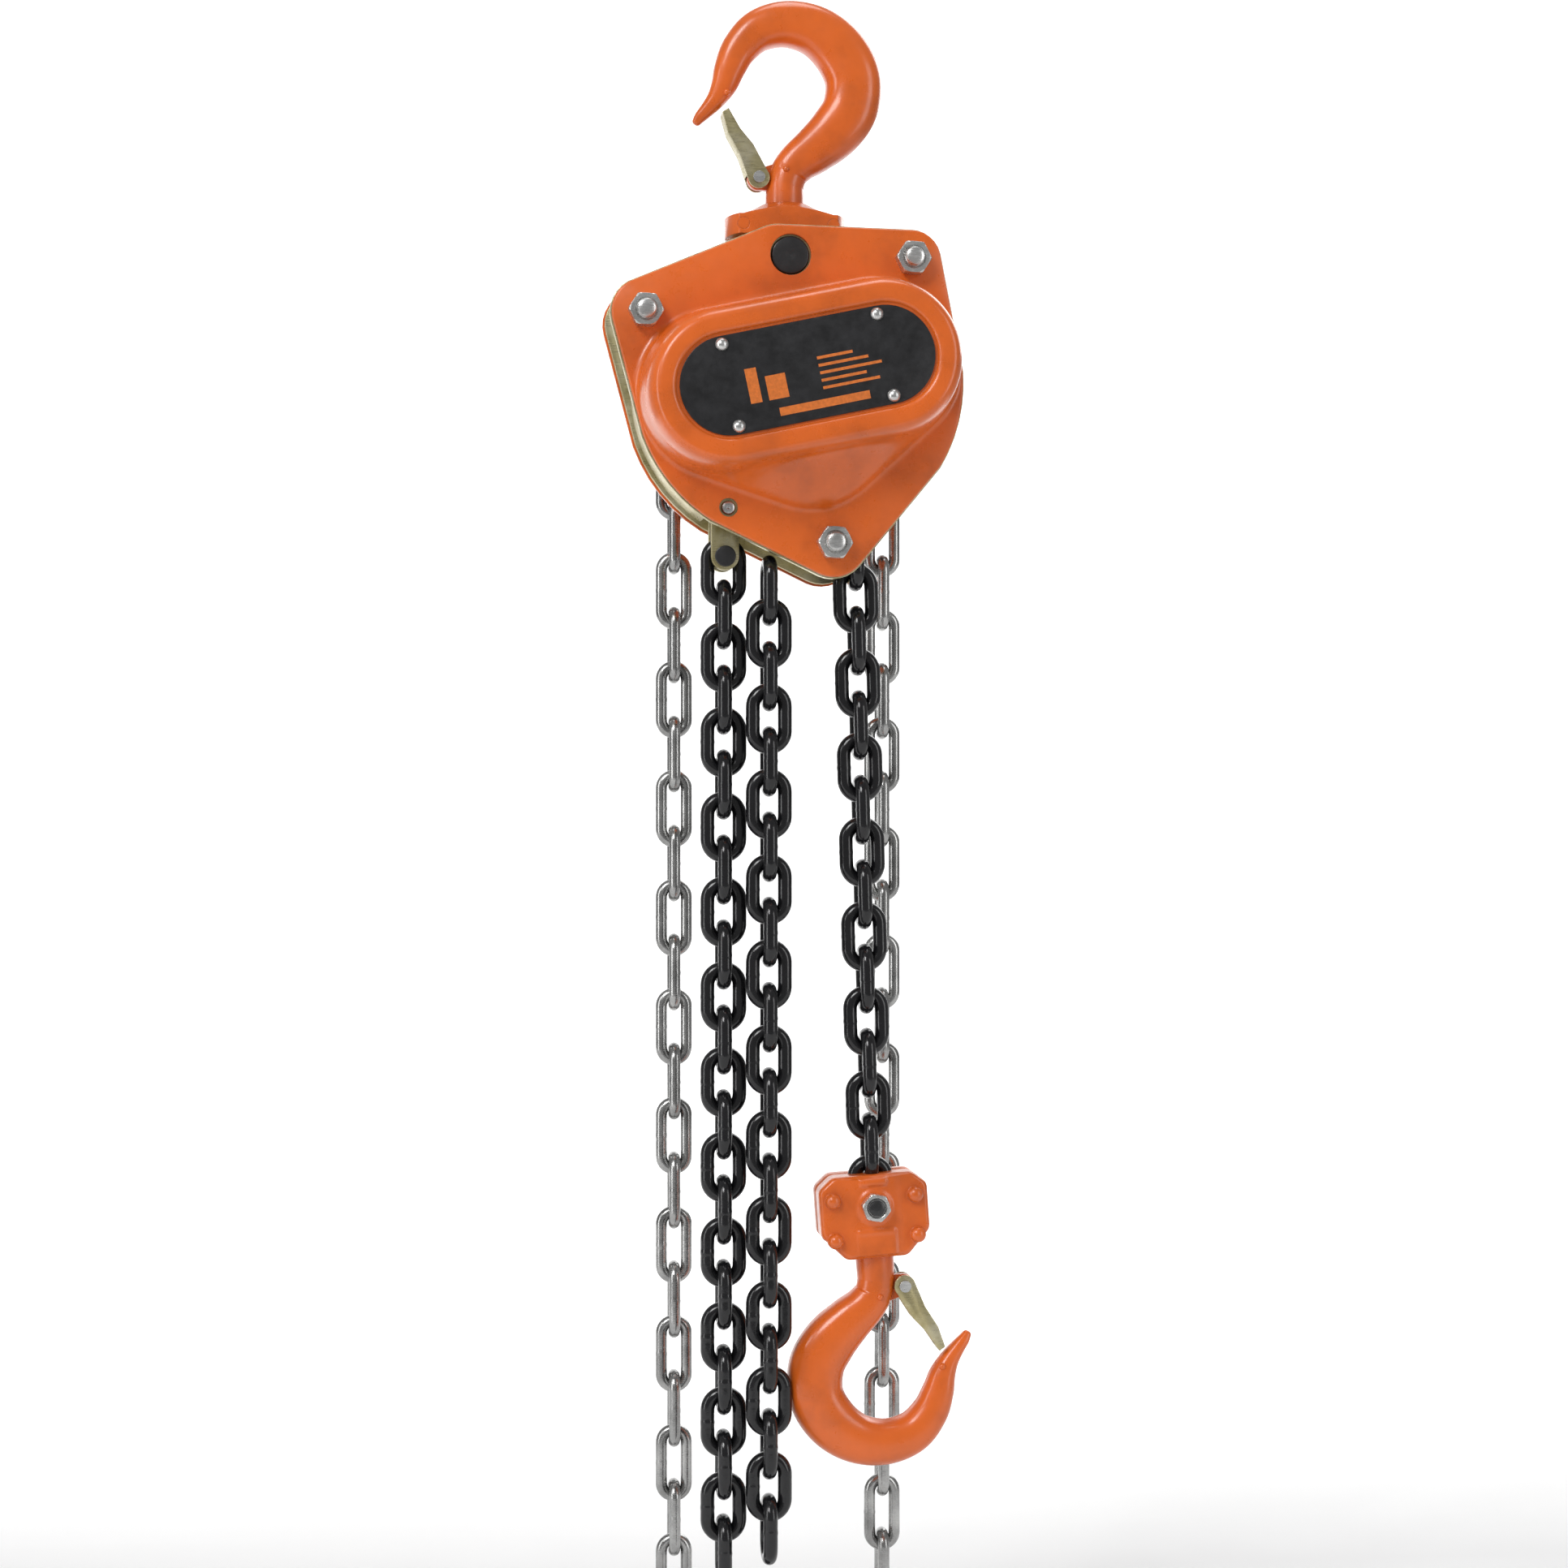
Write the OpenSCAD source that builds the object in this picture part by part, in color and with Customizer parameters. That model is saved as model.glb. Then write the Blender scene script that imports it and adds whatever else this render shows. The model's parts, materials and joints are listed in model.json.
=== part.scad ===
// Manual chain hoist, one-tonne size, with its hooks, load chain and hand chain.
// Millimetres, +Z up. The origin is the seat of the top hook's bowl, X runs to the
// right across the gear cover and Y runs from the gear cover back to the hand wheel.

/* [Load chain] */
// Wire diameter of a load chain link
load_wire = 6; // [5.8:0.1:6.2]
// Inner length (pitch) of a load chain link
load_pitch = 18; // [17.9:0.1:18.1]
// Outer width of a load chain link
load_width = 19.6; // [19:0.1:20]

/* [Hand chain] */
// Wire diameter of a hand chain link
hand_wire = 5; // [4.6:0.1:5]
// Inner length (pitch) of a hand chain link
hand_pitch = 24; // [23.9:0.1:24.1]
// Outer width of a hand chain link
hand_width = 16; // [15.4:0.1:16.4]

/* [Hoist body] */
// Thickness of each side plate
plate_t = 4; // [3.5:0.1:4.2]
// Clear width between the side plates
plate_gap = 30; // [29.6:0.1:30.2]
// Sheet thickness of the gear cover and wheel cover
cover_t = 2.5; // [2:0.1:2.6]
// Angle at which the unloaded body hangs, turned about the depth axis
body_roll = 12; // [11:0.5:13]

/* [Hooks] */
// Radius of the hook shank
shank_r = 8.2; // [8:0.1:8.4]
// Running clearance on shafts, pins and shanks
run_gap = 0.08; // [0.05:0.01:0.1]
// Angle at which the bottom hook block hangs
block_roll = 4; // [2:0.5:5]

/* [Gear train] */
// Teeth on the pinion shaft and on each idler's small gear
pinion_teeth = 9; // [9:1:9]
// Teeth on each idler's large gear
idler_teeth = 45; // [45:1:45]
// Teeth on the load gear
load_teeth = 36; // [36:1:36]
// Tooth thinning at the pitch circle
backlash = 0.35; // [0.3:0.05:0.4]

/* [Hidden] */

orange = "darkorange";
zinc = "darkkhaki";
steel = "silver";
dark = "dimgray";
fine = 64;
eps = 0.01;

// Depth stations
gap_half = plate_gap/2;
plate_out = gap_half + plate_t;
cover_face = plate_out + cover_t;
oval_top = 49.5;
hand_y = 52;
wheel_cover_back = 76;

// The body hangs from the top pin below the hook; the shaft axis follows from it
top_pin_z = -91.8;
pin_u = 7.33;
pin_w = 51.8;
pin_r = 8;
axis_x = pin_w*sin(body_roll) - pin_u*cos(body_roll);
axis_z = top_pin_z - pin_u*sin(body_roll) - pin_w*cos(body_roll);

// Points given in the body's own frame turned into the world
function body_x(u, w) = axis_x + u*cos(body_roll) - w*sin(body_roll);
function body_z(u, w) = axis_z + u*sin(body_roll) + w*cos(body_roll);
bolts = [[-57.3, 40.2], [57.3, 40.2], [0, -69.7]];
pivot_u = -40.2;
pivot_w = -46.4;
shackle_drop = 19.3;
anchor_pin_r = 2.8;
anchor_x = body_x(pivot_u, pivot_w);
anchor_z = body_z(pivot_u, pivot_w) - shackle_drop;

// Pocket wheel geometry. Links alternate: one lies flat in a pocket, the next stands in the
// central groove. Links are counted as meeting at the crown centres of the lying links.
function joint_r(p, d, n) = sqrt(pow(p/sin(90/n), 2) + pow(d/cos(90/n), 2))/2;
function half_turn(chord, r) = asin(chord/2/r);
sheave_n = 5;
sheave_r = joint_r(load_pitch, load_wire, sheave_n);
sheave_lie = half_turn(load_pitch + load_wire, sheave_r);
sheave_stand = half_turn(load_pitch - load_wire, sheave_r);
sheave_lie_r = sheave_r*cos(sheave_lie);
sheave_stand_r = sheave_r*cos(sheave_stand);
wheel_n = 6;
wheel_r = joint_r(hand_pitch, hand_wire, wheel_n);
wheel_lie = half_turn(hand_pitch + hand_wire, wheel_r);
wheel_stand = half_turn(hand_pitch - hand_wire, wheel_r);
wheel_lie_r = wheel_r*cos(wheel_lie);
wheel_stand_r = wheel_r*cos(wheel_stand);
wheel_phase = 14.9;

// Gear geometry: both stages share one centre distance
m_first = 1.25;
m_second = 1.5;
centre_dist = m_first*(pinion_teeth + idler_teeth)/2;
shaft_r = 4;
bore_r = shaft_r + run_gap;
journal_r = 12.5;
bearing_out_r = 21;
ball_r = 3;
ball_ring_r = 16.9;
balls = 14;

// Bottom block geometry, from the load chain's last link
fall_links = 15;
lead_links = 4;
fall_x = axis_x + sheave_lie_r;
lead_top_z = axis_z - (load_pitch + load_wire)/2;
fall_top_z = lead_top_z - lead_links*load_pitch;
fall_lean = 1.45;
chain_pin_r = 3.5;
pin_offset = (load_pitch + load_wire)/2 - load_wire/2 - chain_pin_r;
fall_len = (fall_links - 1)*load_pitch + (load_pitch - load_wire)/2 + pin_offset;
block_x = fall_x + fall_len*sin(fall_lean);
block_z = fall_top_z - fall_len*cos(fall_lean);
block_seat_drop = 92.5;

// ---------- Shared shapes ----------

// A cylinder along the depth axis from depth y0 to y1, centred on x, z
module bar(x, z, r, y0, y1, n = fine) {
    translate([x, y1, z]) rotate([90, 0, 0]) cylinder(h = y1 - y0, r = r, $fn = n);
}

// A cone along the depth axis: radius r0 at depth y0 and r1 at depth y1
module taper(x, z, r0, r1, y0, y1, n = fine) {
    translate([x, y1, z]) rotate([90, 0, 0]) cylinder(h = y1 - y0, r1 = r1, r2 = r0, $fn = n);
}

// A flat outline in x, z given thickness from depth y0 to y1
module slab(y0, y1) {
    translate([0, y1, 0]) rotate([90, 0, 0]) linear_extrude(height = y1 - y0) children();
}

// Everything that hangs with the hoist body is drawn in its own frame
module in_body() {
    translate([axis_x, 0, axis_z]) rotate([0, -body_roll, 0]) children();
}

module in_block() {
    translate([block_x, 0, block_z]) rotate([0, -block_roll, 0]) children();
}

// The bottom hook is the top hook's shape turned upside down below its block
module in_bottom_hook() {
    in_block() translate([0, 0, -block_seat_drop]) rotate([0, 180, 0]) children();
}

function arc(x, z, r, from, to, n) =
    [for (i = [0:n]) let (a = from + (to - from)*i/n) [x + r*cos(a), z + r*sin(a)]];

// Outline of the side plates and covers: three bolt corners joined by bulged sides
function body_outline(grow) = concat(
    arc(57.3, 40.2, 13 + grow, 2, 78, 6),
    arc(2, 49, 17 + grow, 78, 103, 4),
    arc(-57.3, 40.2, 14.6 + grow, 107, 184, 6),
    arc(0, 0, 70.2 + grow, 188, 226, 6),
    arc(0, -69.7, 14.8 + grow, 235, 307, 6),
    arc(0, 0, 70.2 + grow, 317, 352, 6));

module hexagon(across) {
    circle(r = across/2/cos(30), $fn = 6);
}

module hex_nut(x, z, across, hole_r, y0, y1) {
    difference() {
        translate([x, 0, z]) slab(y0, y1) rotate(15) hexagon(across);
        bar(x, z, hole_r, y0 - 1, y1 + 1);
    }
}

// ---------- Chain links ----------

// One welded link centred on the origin, long axis along X, lying in the XZ plane
module link(pitch, wire, width) {
    half = pitch/2 - width/2 + wire + 0.1;
    ring = (width - wire)/2;
    for (s = [-1, 1]) {
        translate([-half, 0, s*ring]) rotate([0, 90, 0])
            cylinder(h = 2*half, r = wire/2, $fn = 24);
        translate([s*half, 0, 0]) rotate([90, s > 0 ? 0 : 180, 0]) rotate([0, 0, -90])
            rotate_extrude(angle = 180, $fn = 48) translate([ring, 0]) circle(r = wire/2, $fn = 24);
    }
}

// Places links along a list of [x, y, z, heading, lean, face_on] rows. A face-on link lies in
// the XZ plane; the others are turned a quarter turn about their own length.
module links(rows, pitch, wire, width) {
    for (row = rows)
        translate([row[0], row[1], row[2]]) rotate([row[4], -row[3], 0])
            rotate([row[5] ? 0 : 90, 0, 0]) link(pitch, wire, width);
}

// A single link between an upper and a lower meeting point
function between(a, b, face_on) =
    let (v = b - a, m = (a + b)/2)
    [m[0], m[1], m[2], -acos(v[0]/norm(v)), atan2(v[1], -v[2]), face_on];

// A straight run of n links downwards from a meeting point along a unit direction
function run_start(k, p, d, face_on) = k*p + (k % 2 == 0 ? 0 : face_on ? -d : d);
function straight_run(from, way, n, p, d, face_on) =
    [for (k = [0:n - 1]) between(from + way*run_start(k, p, d, face_on),
        from + way*run_start(k + 1, p, d, face_on), (k % 2 == 0) == face_on)];

// n links wrapped on a pocket wheel, starting with a lying link at angle first
function wrapped_run(x, y, z, first, n, step, r_lie, r_stand) =
    [for (k = [0:n - 1]) let (a = first + k*step, r = k % 2 == 0 ? r_lie : r_stand)
        [x + r*cos(a), y, z + r*sin(a), a + 90, 0, k % 2 == 1]];

// Load chain: off the sheave's left side, under it and out through the bottom opening
down = [0, 0, -1];
sheave_step = 180/sheave_n;
slack_x = -7.5;
slack_y = -6.8;
feed_links = 4;
feed_from = [axis_x - sheave_r*cos(sheave_stand), 0, axis_z - sheave_r*sin(sheave_stand)];
feed_drop = sqrt(pow(feed_links*load_pitch, 2) - pow(slack_x - feed_from[0], 2) - pow(slack_y, 2));
slack_top = [slack_x, slack_y, feed_from[2] - feed_drop];
feed_way = (slack_top - feed_from)/(feed_links*load_pitch);
slack_links = 24;
anchor_links = 25;
anchor_top = [anchor_x, 0, anchor_z - load_wire/2 + anchor_pin_r];
slack_end = slack_top + down*slack_links*load_pitch;
anchor_end = anchor_top + down*(anchor_links*load_pitch - load_wire);

// The loop's last three links: two leaning in and one across the bottom
across = [slack_end[0] - anchor_end[0], slack_end[1] - anchor_end[1], 0];
end_rise = slack_end[2] - anchor_end[2];
bottom_run = sqrt(pow(load_pitch - load_wire, 2) - pow(end_rise, 2));
turn_in = (norm(across) - bottom_run)/2;
turn_fall = sqrt(pow(load_pitch + load_wire, 2) - pow(turn_in, 2));
turn_left = anchor_end + across/norm(across)*turn_in + down*turn_fall;
turn_right = slack_end - across/norm(across)*turn_in + down*turn_fall;

// Hand chain: two straight strands joined by equal half turns above and below
hand_step = 180/wheel_n;
hand_lead = wheel_lie - wheel_phase;
hand_left_x = axis_x - wheel_r*cos(hand_lead);
hand_right_x = axis_x + wheel_r*cos(hand_lead);
hand_pairs = 11;
hand_inside = 2;
hand_left_z = axis_z + wheel_r*sin(hand_lead);
hand_right_z = axis_z - wheel_r*sin(hand_lead);
hand_bottom_z = axis_z - hand_pairs*2*hand_pitch;

// ---------- Hooks ----------

// Stations along the hook from its point to the shank: x, z, half width, half depth
hook_path = [[-38.6, -34.2, 1.2, 1.2], [-36.6, -31.4, 2.5, 2.6], [-32.6, -27, 3.3, 4],
    [-28.9, -22.4, 4.3, 5.2], [-25.7, -16.5, 5.7, 6.4], [-23.3, -9.5, 6.8, 7.3],
    [-19.2, -1.2, 7.8, 8], [-11.2, 6.6, 8.8, 8.8], [0.6, 9.7, 9.6, 9.6],
    [13.2, 7, 10.6, 10], [23.4, -1.2, 11.7, 10.2], [29.2, -13, 12, 10.4],
    [28, -25.6, 12, 10.2], [21.6, -35.3, 11.6, 9.8], [13.2, -43, 10.2, 9.2],
    [6, -48.6, 8.9, 8.6], [1.6, -54, 8.2, 8.2], [0, -60, 8.1, 8.1]];

// Smooth path through the stations, and rings of points square to it
function spline(a, b, c, d, t) =
    0.5*((2*b) + (c - a)*t + (2*a - 5*b + 4*c - d)*t*t + (3*b - a - 3*c + d)*t*t*t);
function station(path, i) = path[max(0, min(len(path) - 1, i))];
function on_path(path, i, t) =
    spline(station(path, i - 1), station(path, i), station(path, i + 1), station(path, i + 2), t);
function smooth_path(path, n) = concat(
    [for (i = [0:len(path) - 2], k = [0:n - 1]) on_path(path, i, k/n)], [path[len(path) - 1]]);
function along(rows, i) =
    let (a = rows[max(0, i - 1)], b = rows[min(len(rows) - 1, i + 1)], v = [b[0] - a[0], b[1] - a[1]])
    v/norm(v);
function ring_point(row, t, a) = [row[0] - t[1]*row[2]*cos(a), row[3]*sin(a), row[1] + t[0]*row[2]*cos(a)];

module swept(rows, sides) {
    n = len(rows);
    points = [for (i = [0:n - 1], k = [0:sides - 1]) ring_point(rows[i], along(rows, i), 360*k/sides)];
    side_faces = [for (i = [0:n - 2], k = [0:sides - 1]) let (a = i*sides + k, b = i*sides + (k + 1) % sides)
        [a, b, b + sides, a + sides]];
    start = [[for (k = [sides - 1:-1:0]) k]];
    finish = [[for (k = [0:sides - 1]) (n - 1)*sides + k]];
    polyhedron(points = points, faces = concat(side_faces, start, finish), convexity = 6);
}

ear_x = -11.5;
ear_z = -56.5;
latch_pin_r = 1.6;
collar_z = -78;

// Forged hook: swept bowl, turned shank with its groove, and the ear for the latch
module hook() {
    difference() {
        union() {
            swept(smooth_path(hook_path, 3), 20);
            translate([0, 0, -82.2]) cylinder(h = 22.8, r = shank_r, $fn = fine);
            bar(ear_x, ear_z, 4.6, -2.2, 2.2);
            translate([0, 0, 0]) slab(-2.2, 2.2)
                polygon([[-12, -51.9], [2, -47.5], [2, -62], [-10, -60.8]]);
        }
        bar(ear_x, ear_z, latch_pin_r, -4, 4);
        difference() {
            translate([0, 0, collar_z - 2.5]) cylinder(h = 5, r = shank_r + 1, $fn = fine);
            translate([0, 0, collar_z - 3]) cylinder(h = 6, r = shank_r - 2, $fn = fine);
        }
    }
}

// Split thrust ring that sits in the shank's groove
module hook_collar() {
    translate([0, 0, collar_z - 2.45]) difference() {
        cylinder(h = 4.9, r = 12.2, $fn = fine);
        translate([0, 0, -1]) cylinder(h = 8, r = shank_r - 1.95, $fn = fine);
        translate([-20, -0.3, -1]) cube([40, 0.6, 8]);
    }
}

// Sheet-metal safety latch: a channel from the pivot ear to the hook's point
module latch() {
    difference() {
        union() {
            bar(ear_x, ear_z, 4.6, -5.4, 5.4);
            slab(-5.4, 5.4)
                polygon([[-7.6, -54.2], [-14, -42.5], [-19.5, -36], [-24.4, -27.6],
                    [-27, -29.2], [-24.6, -38], [-19.6, -47], [-15.9, -57.8]]);
        }
        slab(-4.2, 4.2)
            polygon([[-4, -52], [-13.2, -40], [-18.6, -34.6], [-23.2, -29.9],
                [-24.6, -32], [-23.3, -38.4], [-18.3, -47.4], [-14.6, -52.6], [-19, -66], [-2, -66]]);
        bar(ear_x, ear_z, 5.1, -4.2, 4.2);
        bar(ear_x, ear_z, latch_pin_r, -8, 8);
    }
}

module latch_pin() {
    bar(ear_x, ear_z, latch_pin_r - 0.05, -5.6, 5.6, 32);
    for (s = [-1, 1]) bar(ear_x, ear_z, 2.5, s > 0 ? 5.6 : -6.6, s > 0 ? 6.6 : -5.6, 32);
}

// Torsion spring: a coil each side of the ear and a leg up the latch's channel
module latch_spring() {
    for (y = [-3.3, 3.3])
        translate([ear_x, y, ear_z]) rotate([90, 0, 0])
            rotate_extrude($fn = 48) translate([2.8, 0]) circle(r = 0.75, $fn = 16);
    for (s = [-1, 1])
        translate([ear_x + 2.4, s*3.3, ear_z + 1.3]) rotate([0, -29, 0])
            cylinder(h = 15, r = 0.7, $fn = 16);
}

module top_hook() { color(orange) hook(); }
module top_hook_collar() { color(steel) hook_collar(); }
module top_latch() { color(zinc) latch(); }
module top_latch_pin() { color(steel) latch_pin(); }
module top_latch_spring() { color(dark) latch_spring(); }

// ---------- Yoke that carries the body below the top hook ----------

pin_z = body_z(pin_u, pin_w);
pin_x = body_x(pin_u, pin_w);

module yoke_solid() {
    intersection() {
        union() {
            translate([0, 0, -70.6]) cylinder(h = 3, r1 = 15.5, r2 = 10, $fn = fine);
            translate([0, 0, -73.6]) cylinder(h = 3.01, r1 = 24, r2 = 15.5, $fn = fine);
            translate([0, 0, -82]) cylinder(h = 8.41, r = 25.4, $fn = fine);
            translate([0, 0, -88]) cylinder(h = 6.01, r1 = 14, r2 = 22, $fn = fine);
            bar(pin_x, pin_z, 12.4, -14.6, 14.6);
        }
        translate([-30, -14.6, -110]) cube([60, 29.2, 50]);
    }
}

module yoke_voids() {
    translate([0, 0, -86]) cylinder(h = 30, r = shank_r + run_gap, $fn = fine);
    translate([0, 0, collar_z - 2.75]) cylinder(h = 5.5, r = 12.7, $fn = fine);
    bar(pin_x, pin_z, pin_r + run_gap, -20, 20);
    for (s = [-1, 1]) bar(s*19, -77.8, 2.5, -20, 20, 32);
}

module yoke_front_half() {
    color(orange) difference() {
        intersection() {
            yoke_solid();
            translate([-40, -20, -120]) cube([80, 20, 80]);
        }
        yoke_voids();
    }
}

module yoke_rear_half() {
    color(orange) difference() {
        intersection() {
            yoke_solid();
            translate([-40, 0, -120]) cube([80, 20, 80]);
        }
        yoke_voids();
    }
}

module yoke_rivets() {
    color(orange) for (s = [-1, 1]) bar(s*19, -77.8, 2.5, -14.6, 14.6, 32);
}

module top_pin() {
    color(dark) in_body() {
        bar(pin_u, pin_w, pin_r, -plate_out - 1.6, plate_out + 1.6);
    }
}

// ---------- Frame: side plates, shrouds, stay bolts and nuts ----------

module plate_holes(r_pin) {
    for (b = bolts) bar(b[0], b[1], 4.2, -40, 90, 48);
    bar(pin_u, pin_w, r_pin, -40, 90);
    bar(pivot_u, pivot_w, 2.8, -40, 90, 48);
    rotate([0, body_roll, 0]) for (p = guide_spots) bar(p[0], p[1], guide_pin_r, -40, 40, 48);
}

module gear_side_plate() {
    color(zinc) in_body() difference() {
        slab(-plate_out, -gap_half) polygon(body_outline(0));
        plate_holes(pin_r);
        bar(0, 0, bearing_out_r, -40, 0);
        for (s = [-1, 1]) bar(s*centre_dist, 0, 6, -40, 0, 48);
    }
}

module wheel_side_plate() {
    color(zinc) in_body() difference() {
        slab(gap_half, plate_out) polygon(body_outline(0));
        plate_holes(pin_r);
        bar(0, 0, bearing_out_r, 0, 40);
        for (stud = pawl_posts) bar(stud[0], stud[1], 3.5, 0, 40, 48);
    }
}

// A lip just inside one side plate
module lip_slab(s) {
    near = gap_half - 1.9;
    far = gap_half - 0.3;
    slab(s > 0 ? near : -far, s > 0 ? far : -near) children();
}

// Curved strip that closes the gap between the plates down one side
module shroud(from, to) {
    slab(-gap_half + 0.3, gap_half - 0.3) polygon(concat(
        arc(0, 0, 68.6, from, to, 10),
        arc(0, 0, 66.4, to, from, 10)));
}

module side_shroud_left() {
    color(zinc) in_body() union() {
        shroud(172, 224);
        for (s = [-1, 1]) lip_slab(s) polygon(concat(arc(0, 0, 67, 188, 208, 5), arc(0, 0, 58, 208, 188, 5)));
    }
}

module side_shroud_right() {
    color(zinc) in_body() union() {
        shroud(-46, 8);
        for (s = [-1, 1]) lip_slab(s) polygon(concat(arc(0, 0, 67, -28, -8, 5), arc(0, 0, 58, -8, -28, 5)));
    }
}

bolt_front = -31.5;
// The lower stay has a flat where the load chain runs past it
module stay_bolts() {
    flat_x = fall_x - load_width/2 - 0.3;
    lower_z = body_z(bolts[2][0], bolts[2][1]);
    color(steel) difference() {
        in_body() for (b = bolts) {
            bar(b[0], b[1], 4, bolt_front, -bolt_front, 48);
            if (b[0] != 0) bar(b[0], b[1], 5.6, -gap_half + eps, gap_half - eps, 48);
        }
        translate([flat_x, -load_wire/2 - 1, lower_z - 8]) cube([8, load_wire + 2, 16]);
    }
}

module stay_nuts() {
    color(steel) in_body() for (b = bolts) {
        hex_nut(b[0], b[1], 13, 4.02, -cover_face - 6.5, -cover_face);
        hex_nut(b[0], b[1], 13, 4.02, cover_face, cover_face + 6.5);
    }
}

// ---------- Gear cover and rating plate ----------

// Oval of two discs a given half distance apart
module oval(half, r) {
    hull() for (s = [-1, 1]) translate([s*half, 0]) circle(r = r, $fn = 48);
}

module lobe(x, z, r, y, t) {
    bar(x, z, r, y, y + t, 32);
}

// Bulge over the gears: a skirt that reaches lower, then the raised oval housing
module gear_bulge(inset, top, base) {
    knee = oval_top - 9.5;
    hull() {
        for (s = [-1, 1]) lobe(s*33, 0.5, 35 - inset, -base - 0.5, 0.5);
        lobe(0, -20.5, 33.5 - inset, -base - 0.5, 0.5);
        for (s = [-1, 1]) lobe(s*33, 0, 33.2 - inset, -knee, 0.5);
    }
    hull() {
        for (s = [-1, 1]) lobe(s*33, 0, 33.2 - inset, -knee, 0.5);
        for (s = [-1, 1]) lobe(s*33, 0, 31.6 - inset, 3 - top, 0.5);
        for (s = [-1, 1]) lobe(s*33, 0, 28.8 - inset, -top, 0.5);
    }
}

label_half = 33;
label_r = 20.4;
module gear_cover() {
    color(orange) in_body() difference() {
        union() {
            slab(-cover_face, -plate_out) polygon(body_outline(-0.6));
            gear_bulge(0, oval_top + 2, plate_out);
        }
        gear_bulge(cover_t, oval_top - cover_t, plate_out - 1);
        slab(-oval_top - 8, -oval_top) oval(label_half, label_r + 1.2);
        for (b = bolts) bar(b[0], b[1], 4.3, -60, 0, 48);
        bar(pin_u, pin_w, pin_r + 0.6, -60, 0);
        bar(pivot_u, pivot_w, 3.9, -60, 0, 48);
        for (p = rivet_spots) bar(p[0], p[1], 1.5, -60, 0, 32);
    }
}

rivet_spots = [[-32.6, 17], [32.6, 17], [32.6, -17], [-32.6, -17]];
module rating_plate() {
    color([0.05, 0.05, 0.05]) in_body() difference() {
        slab(-oval_top - 0.8, -oval_top) oval(label_half, label_r);
        for (p = rivet_spots) bar(p[0], p[1], 1.5, -60, 0, 32);
    }
}

module rating_rivets() {
    color(steel) in_body() for (p = rivet_spots) {
        bar(p[0], p[1], 1.45, -oval_top - 1, -oval_top + 4, 32);
        intersection() {
            translate([p[0], -oval_top + 0.1, p[1]]) sphere(r = 2.9, $fn = 32);
            bar(p[0], p[1], 3, -oval_top - 4, -oval_top - 0.8, 32);
        }
    }
}

// ---------- Load sheave and its bearings ----------

module ring(r_in, r_out, y0, y1) {
    difference() {
        bar(0, 0, r_out, y0, y1);
        bar(0, 0, r_in, y0 - 1, y1 + 1);
    }
}

module ball_groove(y) {
    translate([0, y, 0]) rotate([90, 0, 0]) rotate_extrude($fn = fine)
        translate([ball_ring_r, 0]) circle(r = ball_r + 0.06, $fn = 32);
}

ball_y = gap_half - 0.6;
module sheave_bearings() {
    color(steel) in_body() for (s = [-1, 1]) difference() {
        ring(ball_ring_r + 1.4, bearing_out_r - 0.01, s > 0 ? 10.6 : -plate_out, s > 0 ? plate_out : -10.6);
        ball_groove(s*ball_y);
    }
}

module bearing_balls() {
    color(steel) in_body() for (s = [-1, 1], k = [0:balls - 1]) let (a = 360*k/balls)
        translate([ball_ring_r*cos(a), s*ball_y, ball_ring_r*sin(a)]) sphere(r = ball_r, $fn = 24);
}

// Pockets for the lying links; the standing links get a central groove
module pockets(n, r_lie, pitch, wire, width, first, slack) {
    for (k = [0:n - 1]) rotate([0, -(first + 360*k/n), 0])
        translate([r_lie - wire/2 - 0.45, 0, 0]) rotate([0, 90, 0]) {
            half = pitch/2 - width/2 + wire;
            for (s = [-1, 1]) translate([s*half, 0, 0])
                cylinder(h = 30, r = width/2 + slack, $fn = 48);
            translate([-half, -width/2 - slack, 0]) cube([2*half, width + 2*slack, 30]);
        }
}

module load_sheave() {
    color(dark) in_body() difference() {
        union() {
            bar(0, 0, 31.5, -12.6, 12.6);
            bar(0, 0, journal_r, -20.6, 20.6);
            bar(0, 0, 10, -29.5, 20.6);
        }
        pockets(sheave_n, sheave_lie_r, load_pitch, load_wire, load_width, -body_roll, 1.15);
        ring(18.4, 40, -load_wire/2 - 0.6, load_wire/2 + 0.6);
        bar(0, 0, bore_r + 1.2, -40, 40);
        for (s = [-1, 1]) ball_groove(s*ball_y);
        for (s = [-1, 1]) ring(ball_ring_r - 1.2, 22, s > 0 ? 10.5 : -13, s > 0 ? 13 : -10.5);
    }
}

// Involute gear outline
pressure = 20;
function inv_deg(a) = tan(a)*180/PI - a;
function flank_angle(r, rb, base) = base - inv_deg(acos(min(1, rb/r)));
function tooth_points(m, z, add, ded) =
    let (rp = m*z/2, rb = rp*cos(pressure), ra = rp + add, rf = rp - ded,
        base = (90 - backlash/2/rp*180/PI*z/2)/z + inv_deg(pressure), start = max(rb, rf),
        up = [for (i = [0:4]) let (r = start + (ra - start)*i/4) [r, flank_angle(r, rb, base)]],
        root = [rf, flank_angle(start, rb, base)])
    concat([[root[0], -root[1]]], [for (p = up) [p[0], -p[1]]],
        [for (i = [4:-1:0]) up[i]], [root]);
function gear_outline(m, z, add, ded, first) =
    [for (k = [0:z - 1], p = tooth_points(m, z, add, ded))
        let (a = p[1] + first + 360*k/z) [p[0]*cos(a), p[0]*sin(a)]];

module gear(m, z, add, ded, first, y0, y1) {
    slab(y0, y1) polygon(gear_outline(m, z, add, ded, first));
}

small_add_1 = m_first*0.95;
small_ded_1 = m_first*0.85;
small_add_2 = m_second*0.95;
small_ded_2 = m_second*0.85;
big_add = 0.62;
big_ded = 1.9;

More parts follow.
